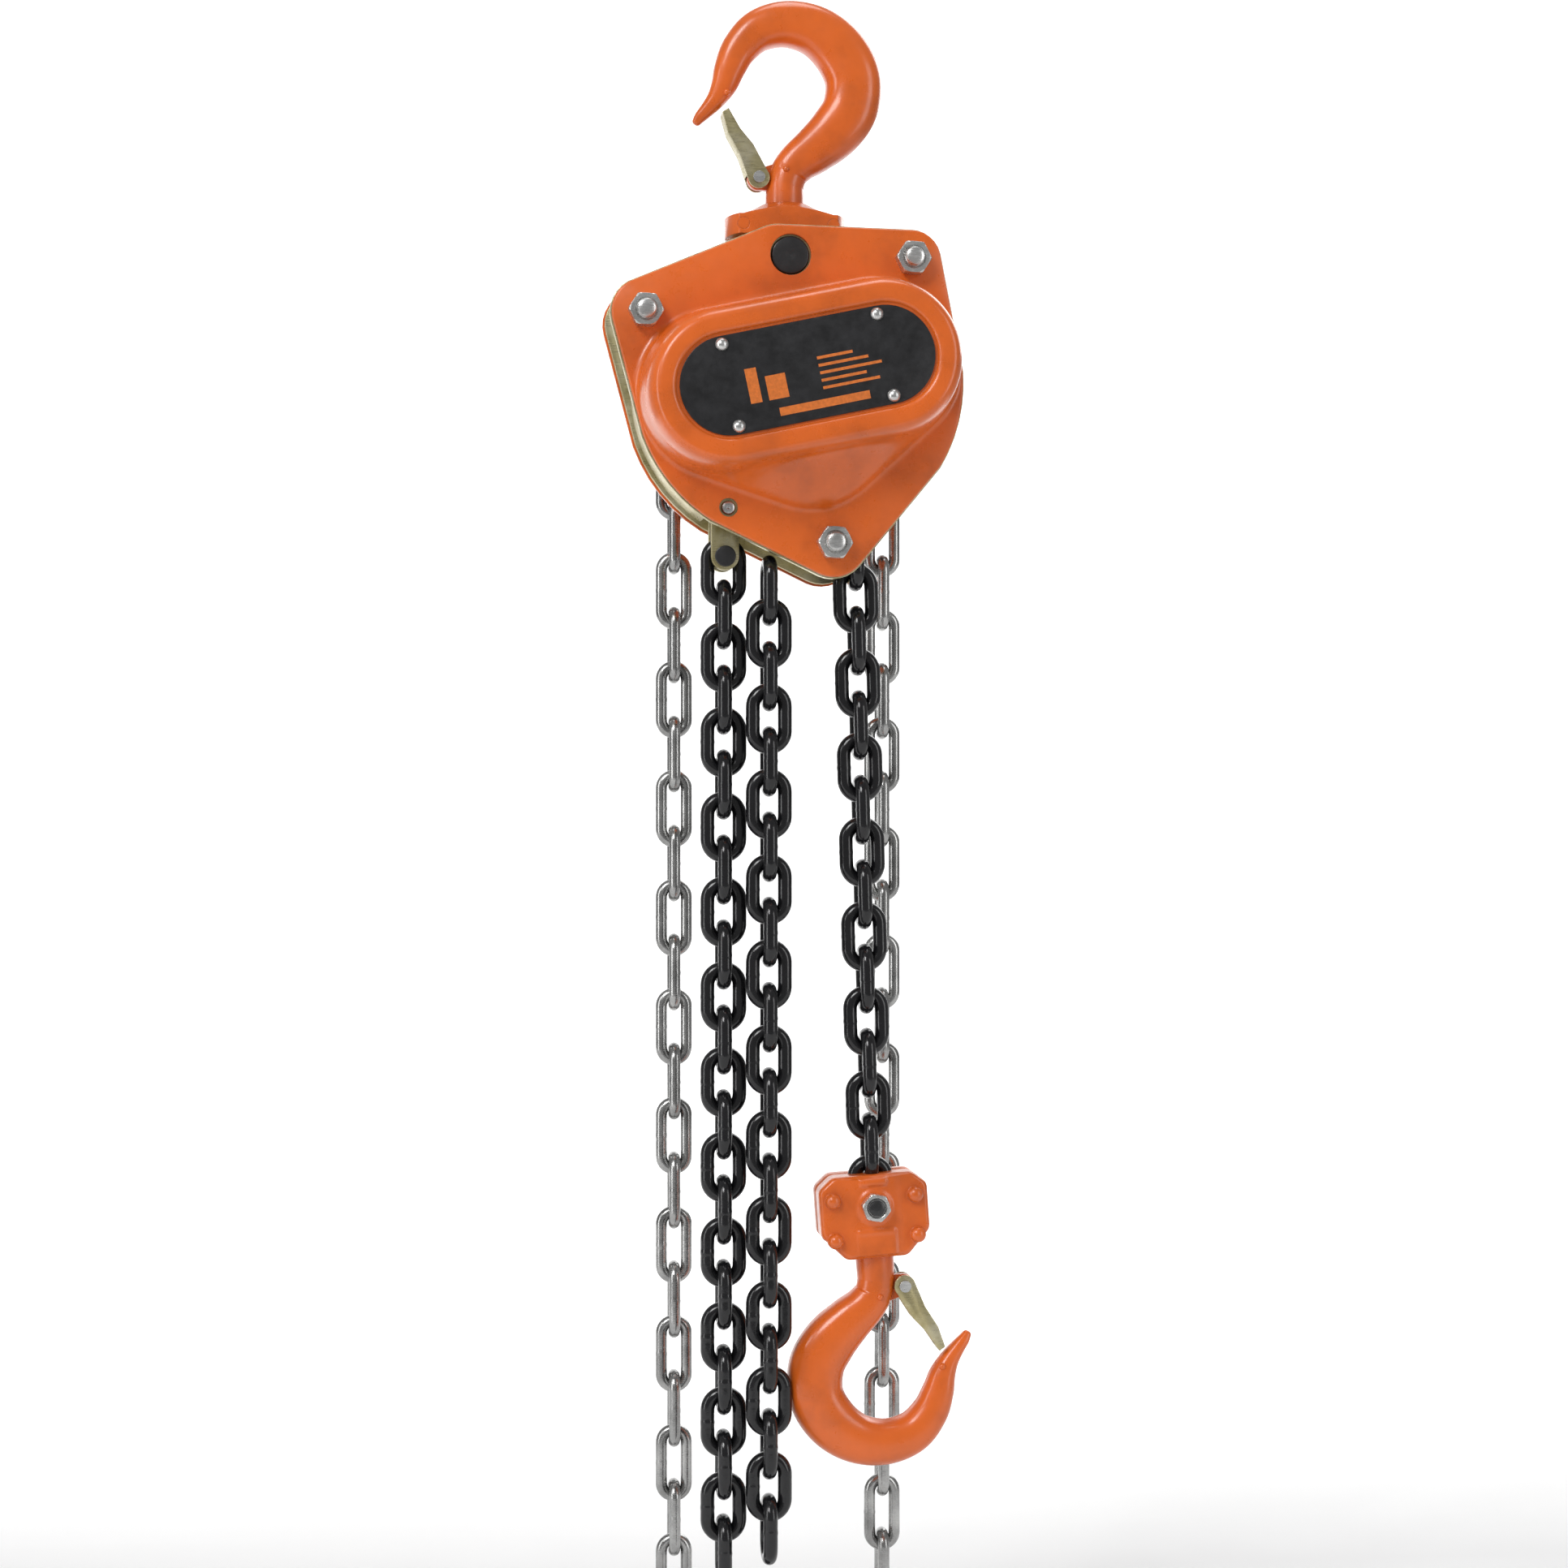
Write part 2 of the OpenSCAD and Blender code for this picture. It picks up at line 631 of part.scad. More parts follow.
module load_gear() {
    color(dark) in_body() difference() {
        gear(m_second, load_teeth, big_add, big_ded, 0, -28, -20.9);
        bar(0, 0, 10 + 0.01, -40, 0);
    }
}

module load_gear_circlip() {
    color(dark) in_body() difference() {
        ring(10.02, 12.2, -29.3, -28.05);
        translate([-2, -40, 9]) cube([4, 40, 6]);
    }
}

// ---------- Pinion shaft and idler gears ----------

pinion_tooth = 0;
module pinion_shaft() {
    color(steel) in_body() {
        gear(m_first, pinion_teeth, small_add_1, small_ded_1, pinion_tooth, -40.5, -31);
        bar(0, 0, shaft_r, -44, 20.6, 48);
        bar(0, 0, 6, 20.6, 67.5, 48);
        bar(0, 0, 4, 67.5, 73, 48);
    }
}

// side -1 is the left idler and 1 the right; each small gear drives the load gear
module idler(side) {
    toward = side > 0 ? 180 : 0;
    translate([side*centre_dist, 0, 0]) union() {
        gear(m_first, idler_teeth, big_add, big_ded,
            toward + (side > 0 ? 4 : 0), -39.5, -31.5);
        gear(m_second, pinion_teeth, small_add_2, small_ded_2,
            toward + 20, -31.5, -21.2);
        bar(0, 0, 4.9, -44.5, -15.2, 48);
    }
}

module idler_gear_left() { color(steel) in_body() idler(-1); }
module idler_gear_right() { color(steel) in_body() idler(1); }

module idler_bushes() {
    color("peru") in_body() {
        for (s = [-1, 1]) {
            for (d = [[-19.9, -15], [-46.9, -41]]) difference() {
                bar(s*centre_dist, 0, 5.99, d[0], d[1], 48);
                bar(s*centre_dist, 0, 4.9 + run_gap, d[0] - 1, d[1] + 1, 48);
            }
        }
        difference() {
            bar(0, 0, 6, -46.9, -41, 48);
            bar(0, 0, bore_r, -48, -40, 48);
        }
    }
}

// ---------- Load brake: seat, friction discs, ratchet and pawls ----------

module brake_seat() {
    color(steel) in_body() union() {
        ring(6.01, 25, 21.2, 25);
        ring(6.01, 11, 24.9, 38);
    }
}

module friction_discs() {
    color("peru") in_body() {
        ring(11.3, 24, 25, 28);
        ring(11.3, 24, 33, 36);
    }
}

ratchet_n = 16;
ratchet_root = 28;
ratchet_tip = 32.5;
pawl_reach = 26;
pawl_angle = 100;
post_r = 44;
nose_r = 29.4;
pawl_len = sqrt(pow(post_r, 2) + pow(nose_r, 2) - 2*post_r*nose_r*cos(pawl_reach));
pawl_posts = [for (a = [pawl_angle, pawl_angle + 180]) [post_r*cos(a), post_r*sin(a)]];
function ratchet_phase() = pawl_angle + pawl_reach + 0.9;

// The steep faces meet the pawls when the load tries to run down
module ratchet_disc() {
    color(dark) in_body() difference() {
        slab(28.05, 32.95) polygon([for (k = [0:ratchet_n - 1], p = [[ratchet_root, 0], [ratchet_tip, 2]])
            let (a = 360*k/ratchet_n + p[1] + ratchet_phase()) [p[0]*cos(a), p[0]*sin(a)]]);
        bar(0, 0, 11.08, 20, 40);
    }
}

// Pawl k stands on its post and points at the tooth space it drops into
module pawl(k) {
    a = pawl_angle + 180*k;
    nose = [nose_r*cos(a + pawl_reach), nose_r*sin(a + pawl_reach)];
    post = pawl_posts[k];
    heading = atan2(nose[1] - post[1], nose[0] - post[0]);
    translate([post[0], 0, post[1]]) rotate([0, -heading, 0]) difference() {
        union() {
            bar(0, 0, 6.6, 28.3, 32.7, 48);
            slab(28.3, 32.7) polygon([[-1, -6.4], [pawl_len - 3.6, -3.2], [pawl_len, -0.6],
                [pawl_len - 0.6, 0.7], [pawl_len - 6, 1.9], [1, 6.4]]);
        }
        bar(0, 0, 4 + run_gap, 20, 40, 48);
    }
}

module pawl_upper() { color(steel) in_body() pawl(0); }
module pawl_lower() { color(steel) in_body() pawl(1); }

module pawl_studs() {
    color(steel) in_body() for (p = pawl_posts) {
        bar(p[0], p[1], 3.5, gap_half + 0.2, plate_out, 48);
        bar(p[0], p[1], 4, plate_out, 34.5, 48);
        bar(p[0], p[1], 5.6, 34.5, 36, 48);
    }
}

module pawl_springs() {
    color(dark) in_body() for (p = pawl_posts) for (y = [21.2, 22.8, 24.4, 26])
        translate([p[0], y, p[1]]) rotate([90, 0, 0])
            rotate_extrude($fn = 48) translate([5.2, 0]) circle(r = 0.7, $fn = 16);
}

// ---------- Hand wheel, its nut and cover ----------

module hand_wheel() {
    color(steel) in_body() difference() {
        union() {
            bar(0, 0, 48.6, 42, 62);
            bar(0, 0, 25, 36, 62);
        }
        translate([0, hand_y, 0])
            pockets(wheel_n, wheel_lie_r, hand_pitch, hand_wire, hand_width,
                wheel_phase - body_roll, 0.6);
        ring(36.6, 60, hand_y - hand_wire/2 - 0.7, hand_y + hand_wire/2 + 0.7);
        ring(17, 33, 56, 70);
        ring(27, 34, 34, 47);
        bar(0, 0, 6.01, 30, 70, 48);
        bar(0, 0, 11.3, 30, 38.2);
    }
}

module castle_nut() {
    color(steel) in_body() difference() {
        slab(62.1, 70) hexagon(18);
        bar(0, 0, 6.01, 60, 67.6, 48);
        bar(0, 0, 4.02, 60, 72, 48);
        for (a = [0, 60, 120]) rotate([0, a, 0]) translate([-12, 67.9, -1.3]) cube([24, 4, 2.6]);
    }
}

module cotter_pin() {
    color(steel) in_body() {
        for (s = [-1, 1]) translate([s > 0 ? 4.05 : -11, 69, 0]) rotate([0, 90, 0])
            cylinder(h = 6.95, r = 1, $fn = 24);
        translate([12.4, 69, 0]) rotate([90, 0, 0]) rotate_extrude($fn = 32)
            translate([2, 0]) circle(r = 0.9, $fn = 16);
    }
}

wheel_cover_front = plate_out;
drum_r = 61.8;
module wheel_cover() {
    color(orange) in_body() difference() {
        union() {
            slab(wheel_cover_front, wheel_cover_front + cover_t) polygon(body_outline(0.8));
            bar(0, 0, drum_r, wheel_cover_front, wheel_cover_back - 6, 96);
            taper(0, 0, drum_r, drum_r - 5.5, wheel_cover_back - 6, wheel_cover_back);
        }
        bar(0, 0, drum_r - cover_t, wheel_cover_front - 1, wheel_cover_back - 7, 96);
        taper(0, 0, drum_r - cover_t, drum_r - 8, wheel_cover_back - 7, wheel_cover_back - cover_t);
        for (b = bolts) bar(b[0], b[1], 4.3, 0, 60, 48);
        bar(pin_u, pin_w, pin_r + 0.6, 0, 28);
        bar(pivot_u, pivot_w, 3.9, 0, 28, 48);
        for (s = [-1, 1]) rotate([0, body_roll, 0])
            translate([s > 0 ? 31 : -66, 41, -95]) cube([35, 23, 85]);
        for (a = [196, 214]) rotate([0, -a, 0]) translate([40, 30, -5]) cube([40, 24, 9]);
        bar(0, 0, 12, 60, 90);
    }
}

// ---------- Chain guides, stripper and the slack-end anchor ----------

// Two rollers keep the chain in the sheave's pockets where it arrives and leaves
guide_spots = [[44.4, -7], [-44.4, -4]];
guide_pin_r = 2.5;

module upright() {
    in_body() rotate([0, body_roll, 0]) children();
}

module guide_rollers() {
    color(steel) upright() for (p = guide_spots) difference() {
        union() {
            bar(p[0], p[1], 4.2, -14.6, 14.6, 48);
            for (s = [-1, 1]) bar(p[0], p[1], 5.2, s > 0 ? 4.2 : -14.6, s > 0 ? 14.6 : -4.2, 48);
        }
        bar(p[0], p[1], guide_pin_r + run_gap, -20, 20, 48);
    }
}

module guide_pins() {
    color(steel) upright() for (p = guide_spots)
        bar(p[0], p[1], guide_pin_r, -plate_out - 0.8, plate_out + 0.8, 48);
}

// Finger that lifts the chain out of the sheave's groove, on a post between the plates
module chain_stripper() {
    color(dark) upright() difference() {
        union() {
            slab(-2.6, 2.6) polygon([[-6, -20.4], [7, -20], [9.3, -30], [9.3, -46], [1.1, -46], [-1, -34]]);
            bar(5.2, -46, 4.1, -gap_half + 0.05, gap_half - 0.05, 48);
        }
        bar(0, 0, 19.2, -5, 5);
    }
}

module anchor_pivot_pin() {
    color(steel) in_body() bar(pivot_u, pivot_w, 2.79, -plate_out - 1.8, plate_out + 1.8, 48);
}

module anchor_shackle() {
    px = body_x(pivot_u, pivot_w);
    pz = body_z(pivot_u, pivot_w);
    color(zinc) difference() {
        union() {
            for (s = [-1, 1]) slab(s > 0 ? 4.2 : -7.2, s > 0 ? 7.2 : -4.2)
                polygon(concat(arc(px, pz, 5.9, 0, 180, 10), arc(anchor_x, anchor_z, 5.9, 180, 360, 12)));
        }
        bar(px, pz, 2.79 + run_gap, -30, 30, 48);
        bar(anchor_x, anchor_z, anchor_pin_r, -30, 30, 48);
    }
}

module anchor_pin() {
    color(dark) {
        bar(anchor_x, anchor_z, anchor_pin_r - 0.01, -8.2, 8.2, 48);
        bar(anchor_x, anchor_z, 4.4, -9.4, -7.2, 48);
        bar(anchor_x, anchor_z, 4.4, 7.2, 8.6, 48);
    }
}

// ---------- Chains ----------

module load_links(rows) {
    color(dark) links(rows, load_pitch, load_wire, load_width);
}

module hand_links(rows) {
    color(steel) links(rows, hand_pitch, hand_wire, hand_width);
}

module load_chain_wrap() {
    load_links(concat(
        wrapped_run(axis_x, 0, axis_z, 0, 6, sheave_step, sheave_lie_r, sheave_stand_r),
        straight_run(feed_from, feed_way, feed_links, load_pitch, load_wire, false)));
}

module load_chain_lead() {
    load_links(straight_run([fall_x, 0, lead_top_z], down, lead_links, load_pitch, load_wire, true));
}

module load_chain_fall() {
    load_links(straight_run([fall_x, 0, fall_top_z], [sin(fall_lean), 0, -cos(fall_lean)],
        fall_links, load_pitch, load_wire, true));
}

module load_chain_slack() {
    load_links(concat(
        straight_run(slack_top, down, slack_links, load_pitch, load_wire, false),
        straight_run(anchor_top, down, anchor_links, load_pitch, load_wire, true),
        [between(anchor_end, turn_left, false),
            between(slack_end, turn_right, false),
            between(turn_right, turn_left, true)]));
}

function hand_strand(x, z, first, n, face_on) = straight_run([x, hand_y, z - first*hand_pitch],
    down, n, hand_pitch, hand_wire, face_on);

module hand_chain_wrap() {
    hand_links(concat(
        wrapped_run(axis_x, hand_y, axis_z, wheel_phase, wheel_n, hand_step,
            wheel_lie_r, wheel_stand_r),
        hand_strand(hand_left_x, hand_left_z, 0, hand_inside, false),
        hand_strand(hand_right_x, hand_right_z, 0, hand_inside, true)));
}

module hand_chain_loop() {
    n = 2*hand_pairs - hand_inside;
    hand_links(concat(
        hand_strand(hand_left_x, hand_left_z, hand_inside, n, false),
        hand_strand(hand_right_x, hand_right_z, hand_inside, n, true),
        wrapped_run(axis_x, hand_y, hand_bottom_z, 180 + wheel_phase, wheel_n, hand_step,
            wheel_lie_r, wheel_stand_r)));
}

// ---------- Bottom block ----------

block_half_y = 13;
rivet_x = 17.6;
block_rivet_spots = [[-rivet_x, 3.6], [rivet_x, 3.6], [-rivet_x, -13.4], [rivet_x, -13.4]];
block_outline = [[-17, 13.2], [17, 13.2], [23.3, 8], [23.3, -11.5], [13.2, -22.2], [-13.2, -22.2],
    [-23.3, -11.5], [-23.3, 8]];
seat_to_collar = -collar_z - block_seat_drop;

module block_voids() {
    slab(-load_wire/2 - 0.5, load_wire/2 + 0.5)
        polygon(concat([[13.2, 20]], arc(0, 0.5, 10.9, 0, -180, 10), [[-13.2, 20]]));
    slab(-10.4, 10.4) polygon([[-6.4, 20], [6.4, 20], [5, 6], [-5, 6]]);
    bar(0, 0, chain_pin_r + run_gap, -20, 20, 48);
    translate([0, 0, -30]) cylinder(h = 30 - 9.6, r = shank_r + run_gap, $fn = fine);
    translate([0, 0, seat_to_collar - 2.75]) cylinder(h = 5.5, r = 12.7, $fn = fine);
    for (p = block_rivet_spots) bar(p[0], p[1], 2.5, -20, 20, 32);
}

module block_half(side) {
    difference() {
        union() {
            slab(side > 0 ? 0 : -block_half_y + 2, side > 0 ? block_half_y - 2 : 0) polygon(block_outline);
            slab(side > 0 ? block_half_y - 2 : -block_half_y, side > 0 ? block_half_y : -block_half_y + 2)
                polygon([for (p = block_outline) [p[0]*0.94, p[1]*0.92 - 0.3]]);
        }
        block_voids();
    }
}

module block_front_half() { color(orange) in_block() block_half(-1); }
module block_rear_half() { color(orange) in_block() block_half(1); }

module block_rivets() {
    color(orange) in_block() for (p = block_rivet_spots) {
        bar(p[0], p[1], 2.5, -block_half_y, block_half_y, 32);
        for (s = [-1, 1]) intersection() {
            translate([p[0], s*(block_half_y - 1.6), p[1]]) sphere(r = 3.6, $fn = 32);
            bar(p[0], p[1], 4, s > 0 ? block_half_y : -block_half_y - 4,
                s > 0 ? block_half_y + 4 : -block_half_y, 32);
        }
    }
}

module block_pin() {
    color(dark) in_block() {
        bar(0, 0, chain_pin_r, -block_half_y - 6.2, block_half_y, 48);
        slab(block_half_y, block_half_y + 4.5) rotate(15) hexagon(11);
    }
}

module block_pin_nut() {
    color(steel) in_block() hex_nut(0, 0, 11, chain_pin_r + 0.01, -block_half_y - 5, -block_half_y);
}

module bottom_hook() { color(orange) in_bottom_hook() hook(); }
module bottom_hook_collar() { color(steel) in_bottom_hook() hook_collar(); }
module bottom_latch() { color(zinc) in_bottom_hook() latch(); }
module bottom_latch_pin() { color(steel) in_bottom_hook() latch_pin(); }
module bottom_latch_spring() { color(dark) in_bottom_hook() latch_spring(); }

top_hook();
top_hook_collar();
top_latch();
top_latch_pin();
top_latch_spring();
yoke_front_half();
yoke_rear_half();
yoke_rivets();
top_pin();
gear_side_plate();
wheel_side_plate();
side_shroud_left();
side_shroud_right();
stay_bolts();
stay_nuts();
gear_cover();
rating_plate();
rating_rivets();
sheave_bearings();
bearing_balls();
load_sheave();
load_gear();
load_gear_circlip();
pinion_shaft();
idler_gear_left();
idler_gear_right();
idler_bushes();
brake_seat();
friction_discs();
ratchet_disc();
pawl_upper();
pawl_lower();
pawl_studs();
pawl_springs();
hand_wheel();
castle_nut();
cotter_pin();
wheel_cover();
guide_rollers();
guide_pins();
chain_stripper();
anchor_pivot_pin();
anchor_shackle();
anchor_pin();
load_chain_wrap();
load_chain_lead();
load_chain_fall();
load_chain_slack();
hand_chain_wrap();
hand_chain_loop();
block_front_half();
block_rear_half();
block_rivets();
block_pin();
block_pin_nut();
bottom_hook();
bottom_hook_collar();
bottom_latch();
bottom_latch_pin();
bottom_latch_spring();
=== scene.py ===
"""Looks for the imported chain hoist: smooth replacement pieces, procedural materials, light and camera."""

import json
import math

import bmesh
import bpy
import numpy as np
from mathutils import Matrix, Vector

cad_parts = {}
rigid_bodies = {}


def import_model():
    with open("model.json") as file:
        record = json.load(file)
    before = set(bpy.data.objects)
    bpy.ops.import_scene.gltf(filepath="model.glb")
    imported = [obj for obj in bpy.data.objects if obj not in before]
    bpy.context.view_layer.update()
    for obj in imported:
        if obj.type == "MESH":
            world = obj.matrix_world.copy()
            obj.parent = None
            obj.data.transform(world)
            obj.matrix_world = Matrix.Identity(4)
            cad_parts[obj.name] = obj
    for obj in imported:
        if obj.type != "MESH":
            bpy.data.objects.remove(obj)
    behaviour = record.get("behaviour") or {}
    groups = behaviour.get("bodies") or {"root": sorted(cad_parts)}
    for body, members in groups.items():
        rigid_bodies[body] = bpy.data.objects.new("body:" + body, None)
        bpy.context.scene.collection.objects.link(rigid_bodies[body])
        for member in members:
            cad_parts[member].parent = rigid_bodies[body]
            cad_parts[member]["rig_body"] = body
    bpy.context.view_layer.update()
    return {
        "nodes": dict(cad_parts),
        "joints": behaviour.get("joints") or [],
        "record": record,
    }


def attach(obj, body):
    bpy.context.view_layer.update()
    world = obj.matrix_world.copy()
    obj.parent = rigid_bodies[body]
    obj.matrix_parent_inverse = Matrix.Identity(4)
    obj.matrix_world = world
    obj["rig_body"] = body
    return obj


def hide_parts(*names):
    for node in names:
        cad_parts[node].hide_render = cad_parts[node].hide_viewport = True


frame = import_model()
NODES = frame["nodes"]
JOINTS = {j["name"]: j for j in frame["joints"]}
SLOT_OF = {s["node"]: s["material_slot"] for s in frame["record"]["subparts"]}
BODY_OF = {n: o["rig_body"] for n, o in NODES.items()}
MM = 0.001

# Body frame: the shaft axis, and the angle at which the body hangs
AXIS = Vector(JOINTS["sheave_turn"]["pos_m"])
ROLL = math.radians(12)
BODY = Matrix.Translation(AXIS) @ Matrix.Rotation(-ROLL, 4, "Y")

# ---------------------------------------------------------------- materials


class Shader:
    """One node material on its Principled shader, with the handful of nodes that the finishes share."""

    def __init__(self, name):
        self.mat = bpy.data.materials.new(name)
        self.mat.use_nodes = True
        self.tree = self.mat.node_tree
        self.shader = self.tree.nodes["Principled BSDF"]
        self.coords = self.node("ShaderNodeTexCoord").outputs["Object"]
        self.height = None

    def node(self, kind, **inputs):
        made = self.tree.nodes.new(kind)
        for key, value in inputs.items():
            if key in made.inputs:
                self.feed(made.inputs[key], value)
            else:
                setattr(made, key, value)
        return made

    def feed(self, socket, value):
        if isinstance(value, bpy.types.NodeSocket):
            self.tree.links.new(value, socket)
        else:
            socket.default_value = value

    def set(self, name, value):
        if isinstance(value, tuple) and len(value) == 3:
            value = (*value, 1.0)
        self.feed(self.shader.inputs[name], value)

    def noise(self, scale, detail=3.0, rough=0.5, stretch=None):
        where = self.coords
        if stretch:
            move = self.node("ShaderNodeMapping")
            self.feed(move.inputs["Vector"], where)
            move.inputs["Scale"].default_value = stretch
            where = move.outputs["Vector"]
        made = self.node("ShaderNodeTexNoise", Scale=scale, Detail=detail, Roughness=rough)
        self.feed(made.inputs["Vector"], where)
        return made.outputs["Fac"]

    def ramp(self, fac, *stops):
        made = self.node("ShaderNodeValToRGB")
        ramp = made.color_ramp
        while len(ramp.elements) < len(stops):
            ramp.elements.new(0.5)
        for element, (at, colour) in zip(ramp.elements, stops):
            element.position = at
            element.color = (*colour, 1.0) if len(colour) == 3 else colour
        self.feed(made.inputs["Fac"], fac)
        return made.outputs["Color"]

    def grey(self, fac, low, high, a=0.35, b=0.65):
        return self.ramp(fac, (a, (low,) * 3), (b, (high,) * 3))

    def mix(self, fac, a, b, how="MIX"):
        made = self.node("ShaderNodeMix", data_type="RGBA", blend_type=how)
        self.feed(made.inputs[0], fac)
        for socket, value in ((made.inputs[6], a), (made.inputs[7], b)):
            self.feed(socket, (*value, 1.0) if isinstance(value, tuple) else value)
        return made.outputs[2]

    def maths(self, how, a, b=0.5, clamp=False):
        made = self.node("ShaderNodeMath", operation=how, use_clamp=clamp)
        self.feed(made.inputs[0], a)
        self.feed(made.inputs[1], b)
        return made.outputs[0]

    def edges(self, radius, gain=6.0):
        """1 on convex and concave edges and 0 on open surface, from how far the rounded normal turns."""
        soft = self.node("ShaderNodeBevel", samples=4, Radius=radius)
        plain = self.node("ShaderNodeNewGeometry")
        dot = self.node("ShaderNodeVectorMath", operation="DOT_PRODUCT")
        self.feed(dot.inputs[0], soft.outputs["Normal"])
        self.feed(dot.inputs[1], plain.outputs["Normal"])
        turned = self.maths("SUBTRACT", 1.0, dot.outputs["Value"], clamp=True)
        return self.maths("MULTIPLY", turned, gain, clamp=True)

    def bump(self, fac, distance, strength=1.0, rounding=0.0):
        made = self.node("ShaderNodeBump", Strength=strength, Distance=distance)
        self.feed(made.inputs["Height"], fac)
        if self.height is not None:
            self.feed(made.inputs["Normal"], self.height)
        elif rounding:
            soft = self.node("ShaderNodeBevel", samples=4, Radius=rounding)
            self.feed(made.inputs["Normal"], soft.outputs["Normal"])
        self.height = made.outputs["Normal"]
        self.feed(self.shader.inputs["Normal"], self.height)


def orange_paint(name, colour, rounding):
    """Gloss powder coat: faint orange peel, slow colour drift, dulled edges, a few dust specks."""
    m = Shader(name)
    drift = m.noise(35, 4, 0.6)
    deep = tuple(c * 0.80 for c in colour)
    bright = tuple(min(1.0, c * 1.10) for c in colour)
    base = m.ramp(drift, (0.32, deep), (0.5, colour), (0.7, bright))
    specks = m.ramp(m.noise(1400, 2, 0.7), (0.70, (0, 0, 0)), (0.78, (1, 1, 1)))
    base = m.mix(m.maths("MULTIPLY", specks, 0.22), base, (0.26, 0.06, 0.015))
    worn = m.maths("MULTIPLY", m.edges(0.0006),
                    m.ramp(m.noise(420, 5, 0.75), (0.45, (0, 0, 0)), (0.62, (1, 1, 1))))
    base = m.mix(m.maths("MULTIPLY", worn, 0.35), base, (0.36, 0.085, 0.03))
    m.set("Base Color", base)
    m.set("Roughness", m.grey(m.noise(90, 5, 0.65), 0.24, 0.38))
    m.set("Coat Weight", 0.35)
    m.set("Coat Roughness", 0.16)
    m.bump(m.noise(900, 2, 0.5), 0.00005, 0.5, rounding)
    m.bump(m.noise(120, 3, 0.5), 0.00025, 0.3)
    return m.mat


def black_gloss(name, rounding=0.0004, base=(0.012, 0.012, 0.014), rough=(0.16, 0.34)):
    """Black lacquer over steel: rubbed to grey on the edges, tiny pits and streaks in the gloss."""
    m = Shader(name)
    tone = m.ramp(m.noise(160, 4, 0.6), (0.3, base), (0.7, tuple(c * 1.5 for c in base)))
    worn = m.maths("MULTIPLY", m.edges(0.0005, 5.0),
                    m.ramp(m.noise(700, 4, 0.7), (0.5, (0, 0, 0)), (0.66, (1, 1, 1))))
    m.set("Base Color", m.mix(m.maths("MULTIPLY", worn, 0.22), tone, (0.12, 0.115, 0.11)))
    m.set("Roughness", m.grey(m.noise(260, 5, 0.7), *rough))
    m.set("Specular IOR Level", 0.42)
    m.set("Coat Weight", 0.25)
    m.set("Coat Roughness", 0.06)
    m.bump(m.noise(1500, 3, 0.6), 0.00006, 0.55, rounding)
    m.bump(m.noise(260, 2, 0.5), 0.0002, 0.35)
    return m.mat


def zinc_plate(name, colours, rough=(0.26, 0.44), rounding=0.0004, dull=(0.30, 0.29, 0.26)):
    """Zinc plate: cloudy passivation colours, fine drawn scratches, darker in the edges."""
    m = Shader(name)
    cloud = m.noise(70, 5, 0.62)
    base = m.ramp(cloud, (0.30, colours[0]), (0.5, colours[1]), (0.68, colours[2]))
    spots = m.ramp(m.noise(520, 4, 0.7), (0.64, (0, 0, 0)), (0.74, (1, 1, 1)))
    base = m.mix(m.maths("MULTIPLY", spots, 0.35), base, dull)
    base = m.mix(m.maths("MULTIPLY", m.edges(0.0007, 4.0), 0.30), base, dull)
    m.set("Base Color", base)
    m.set("Metallic", 0.92)
    scratch = m.noise(240, 3, 0.6, (1.0, 1.0, 14.0))
    m.set("Roughness", m.grey(scratch, *rough))
    m.bump(scratch, 0.00004, 0.6, rounding)
    m.bump(m.noise(900, 3, 0.6), 0.00003, 0.4)
    return m.mat


def machined(name, base, rough, rings=420.0, rounding=0.0003):
    """Oiled machined metal: turning marks, oil-dark patches and bright edges."""
    m = Shader(name)
    oil = m.ramp(m.noise(55, 5, 0.65), (0.35, tuple(c * 0.55 for c in base)), (0.62, base))
    bright = tuple(min(1.0, c * 1.35) for c in base)
    m.set("Base Color", m.mix(m.maths("MULTIPLY", m.edges(0.0004, 5.0), 0.5), oil, bright))
    m.set("Metallic", 1.0)
    turning = m.noise(rings, 2, 0.5, (1.0, 8.0, 1.0))
    m.set("Roughness", m.grey(turning, rough, rough + 0.16))
    m.bump(turning, 0.00004, 0.5, rounding)
    return m.mat


def lining(name):
    """Bonded friction lining: fibres and brass flecks in a brown binder."""
    m = Shader(name)
    base = m.ramp(m.noise(1300, 4, 0.75),
                  (0.38, (0.10, 0.06, 0.04)), (0.6, (0.23, 0.15, 0.10)), (0.7, (0.42, 0.32, 0.17)))
    m.set("Base Color", base)
    m.set("Roughness", m.grey(m.noise(800, 3, 0.6), 0.65, 0.85))
    m.bump(m.noise(1600, 3, 0.7), 0.00008, 0.7, 0.0003)
    return m.mat


# Rows of bars on the rating plate: centre along the row and half length, in metres
PRINT_ROWS = ((0.0120, 0.0075), (0.0150, 0.0105), (0.0175, 0.0130), (0.0140, 0.0095), (0.0165, 0.0120))
PRINT_TOP, PRINT_STEP, PRINT_HALF_HEIGHT = 0.0040, 0.0031, 0.0006


def stripes(m, along, across, at, width, length):
    """A mask for one bar drawn on the rating plate, in the plate's own two directions."""
    a = m.maths("SUBTRACT", across, at)
    inside = m.maths("LESS_THAN", m.maths("ABSOLUTE", a, 0), width)
    return m.maths("MULTIPLY", inside, m.maths("LESS_THAN", m.maths("ABSOLUTE", along, 0), length))


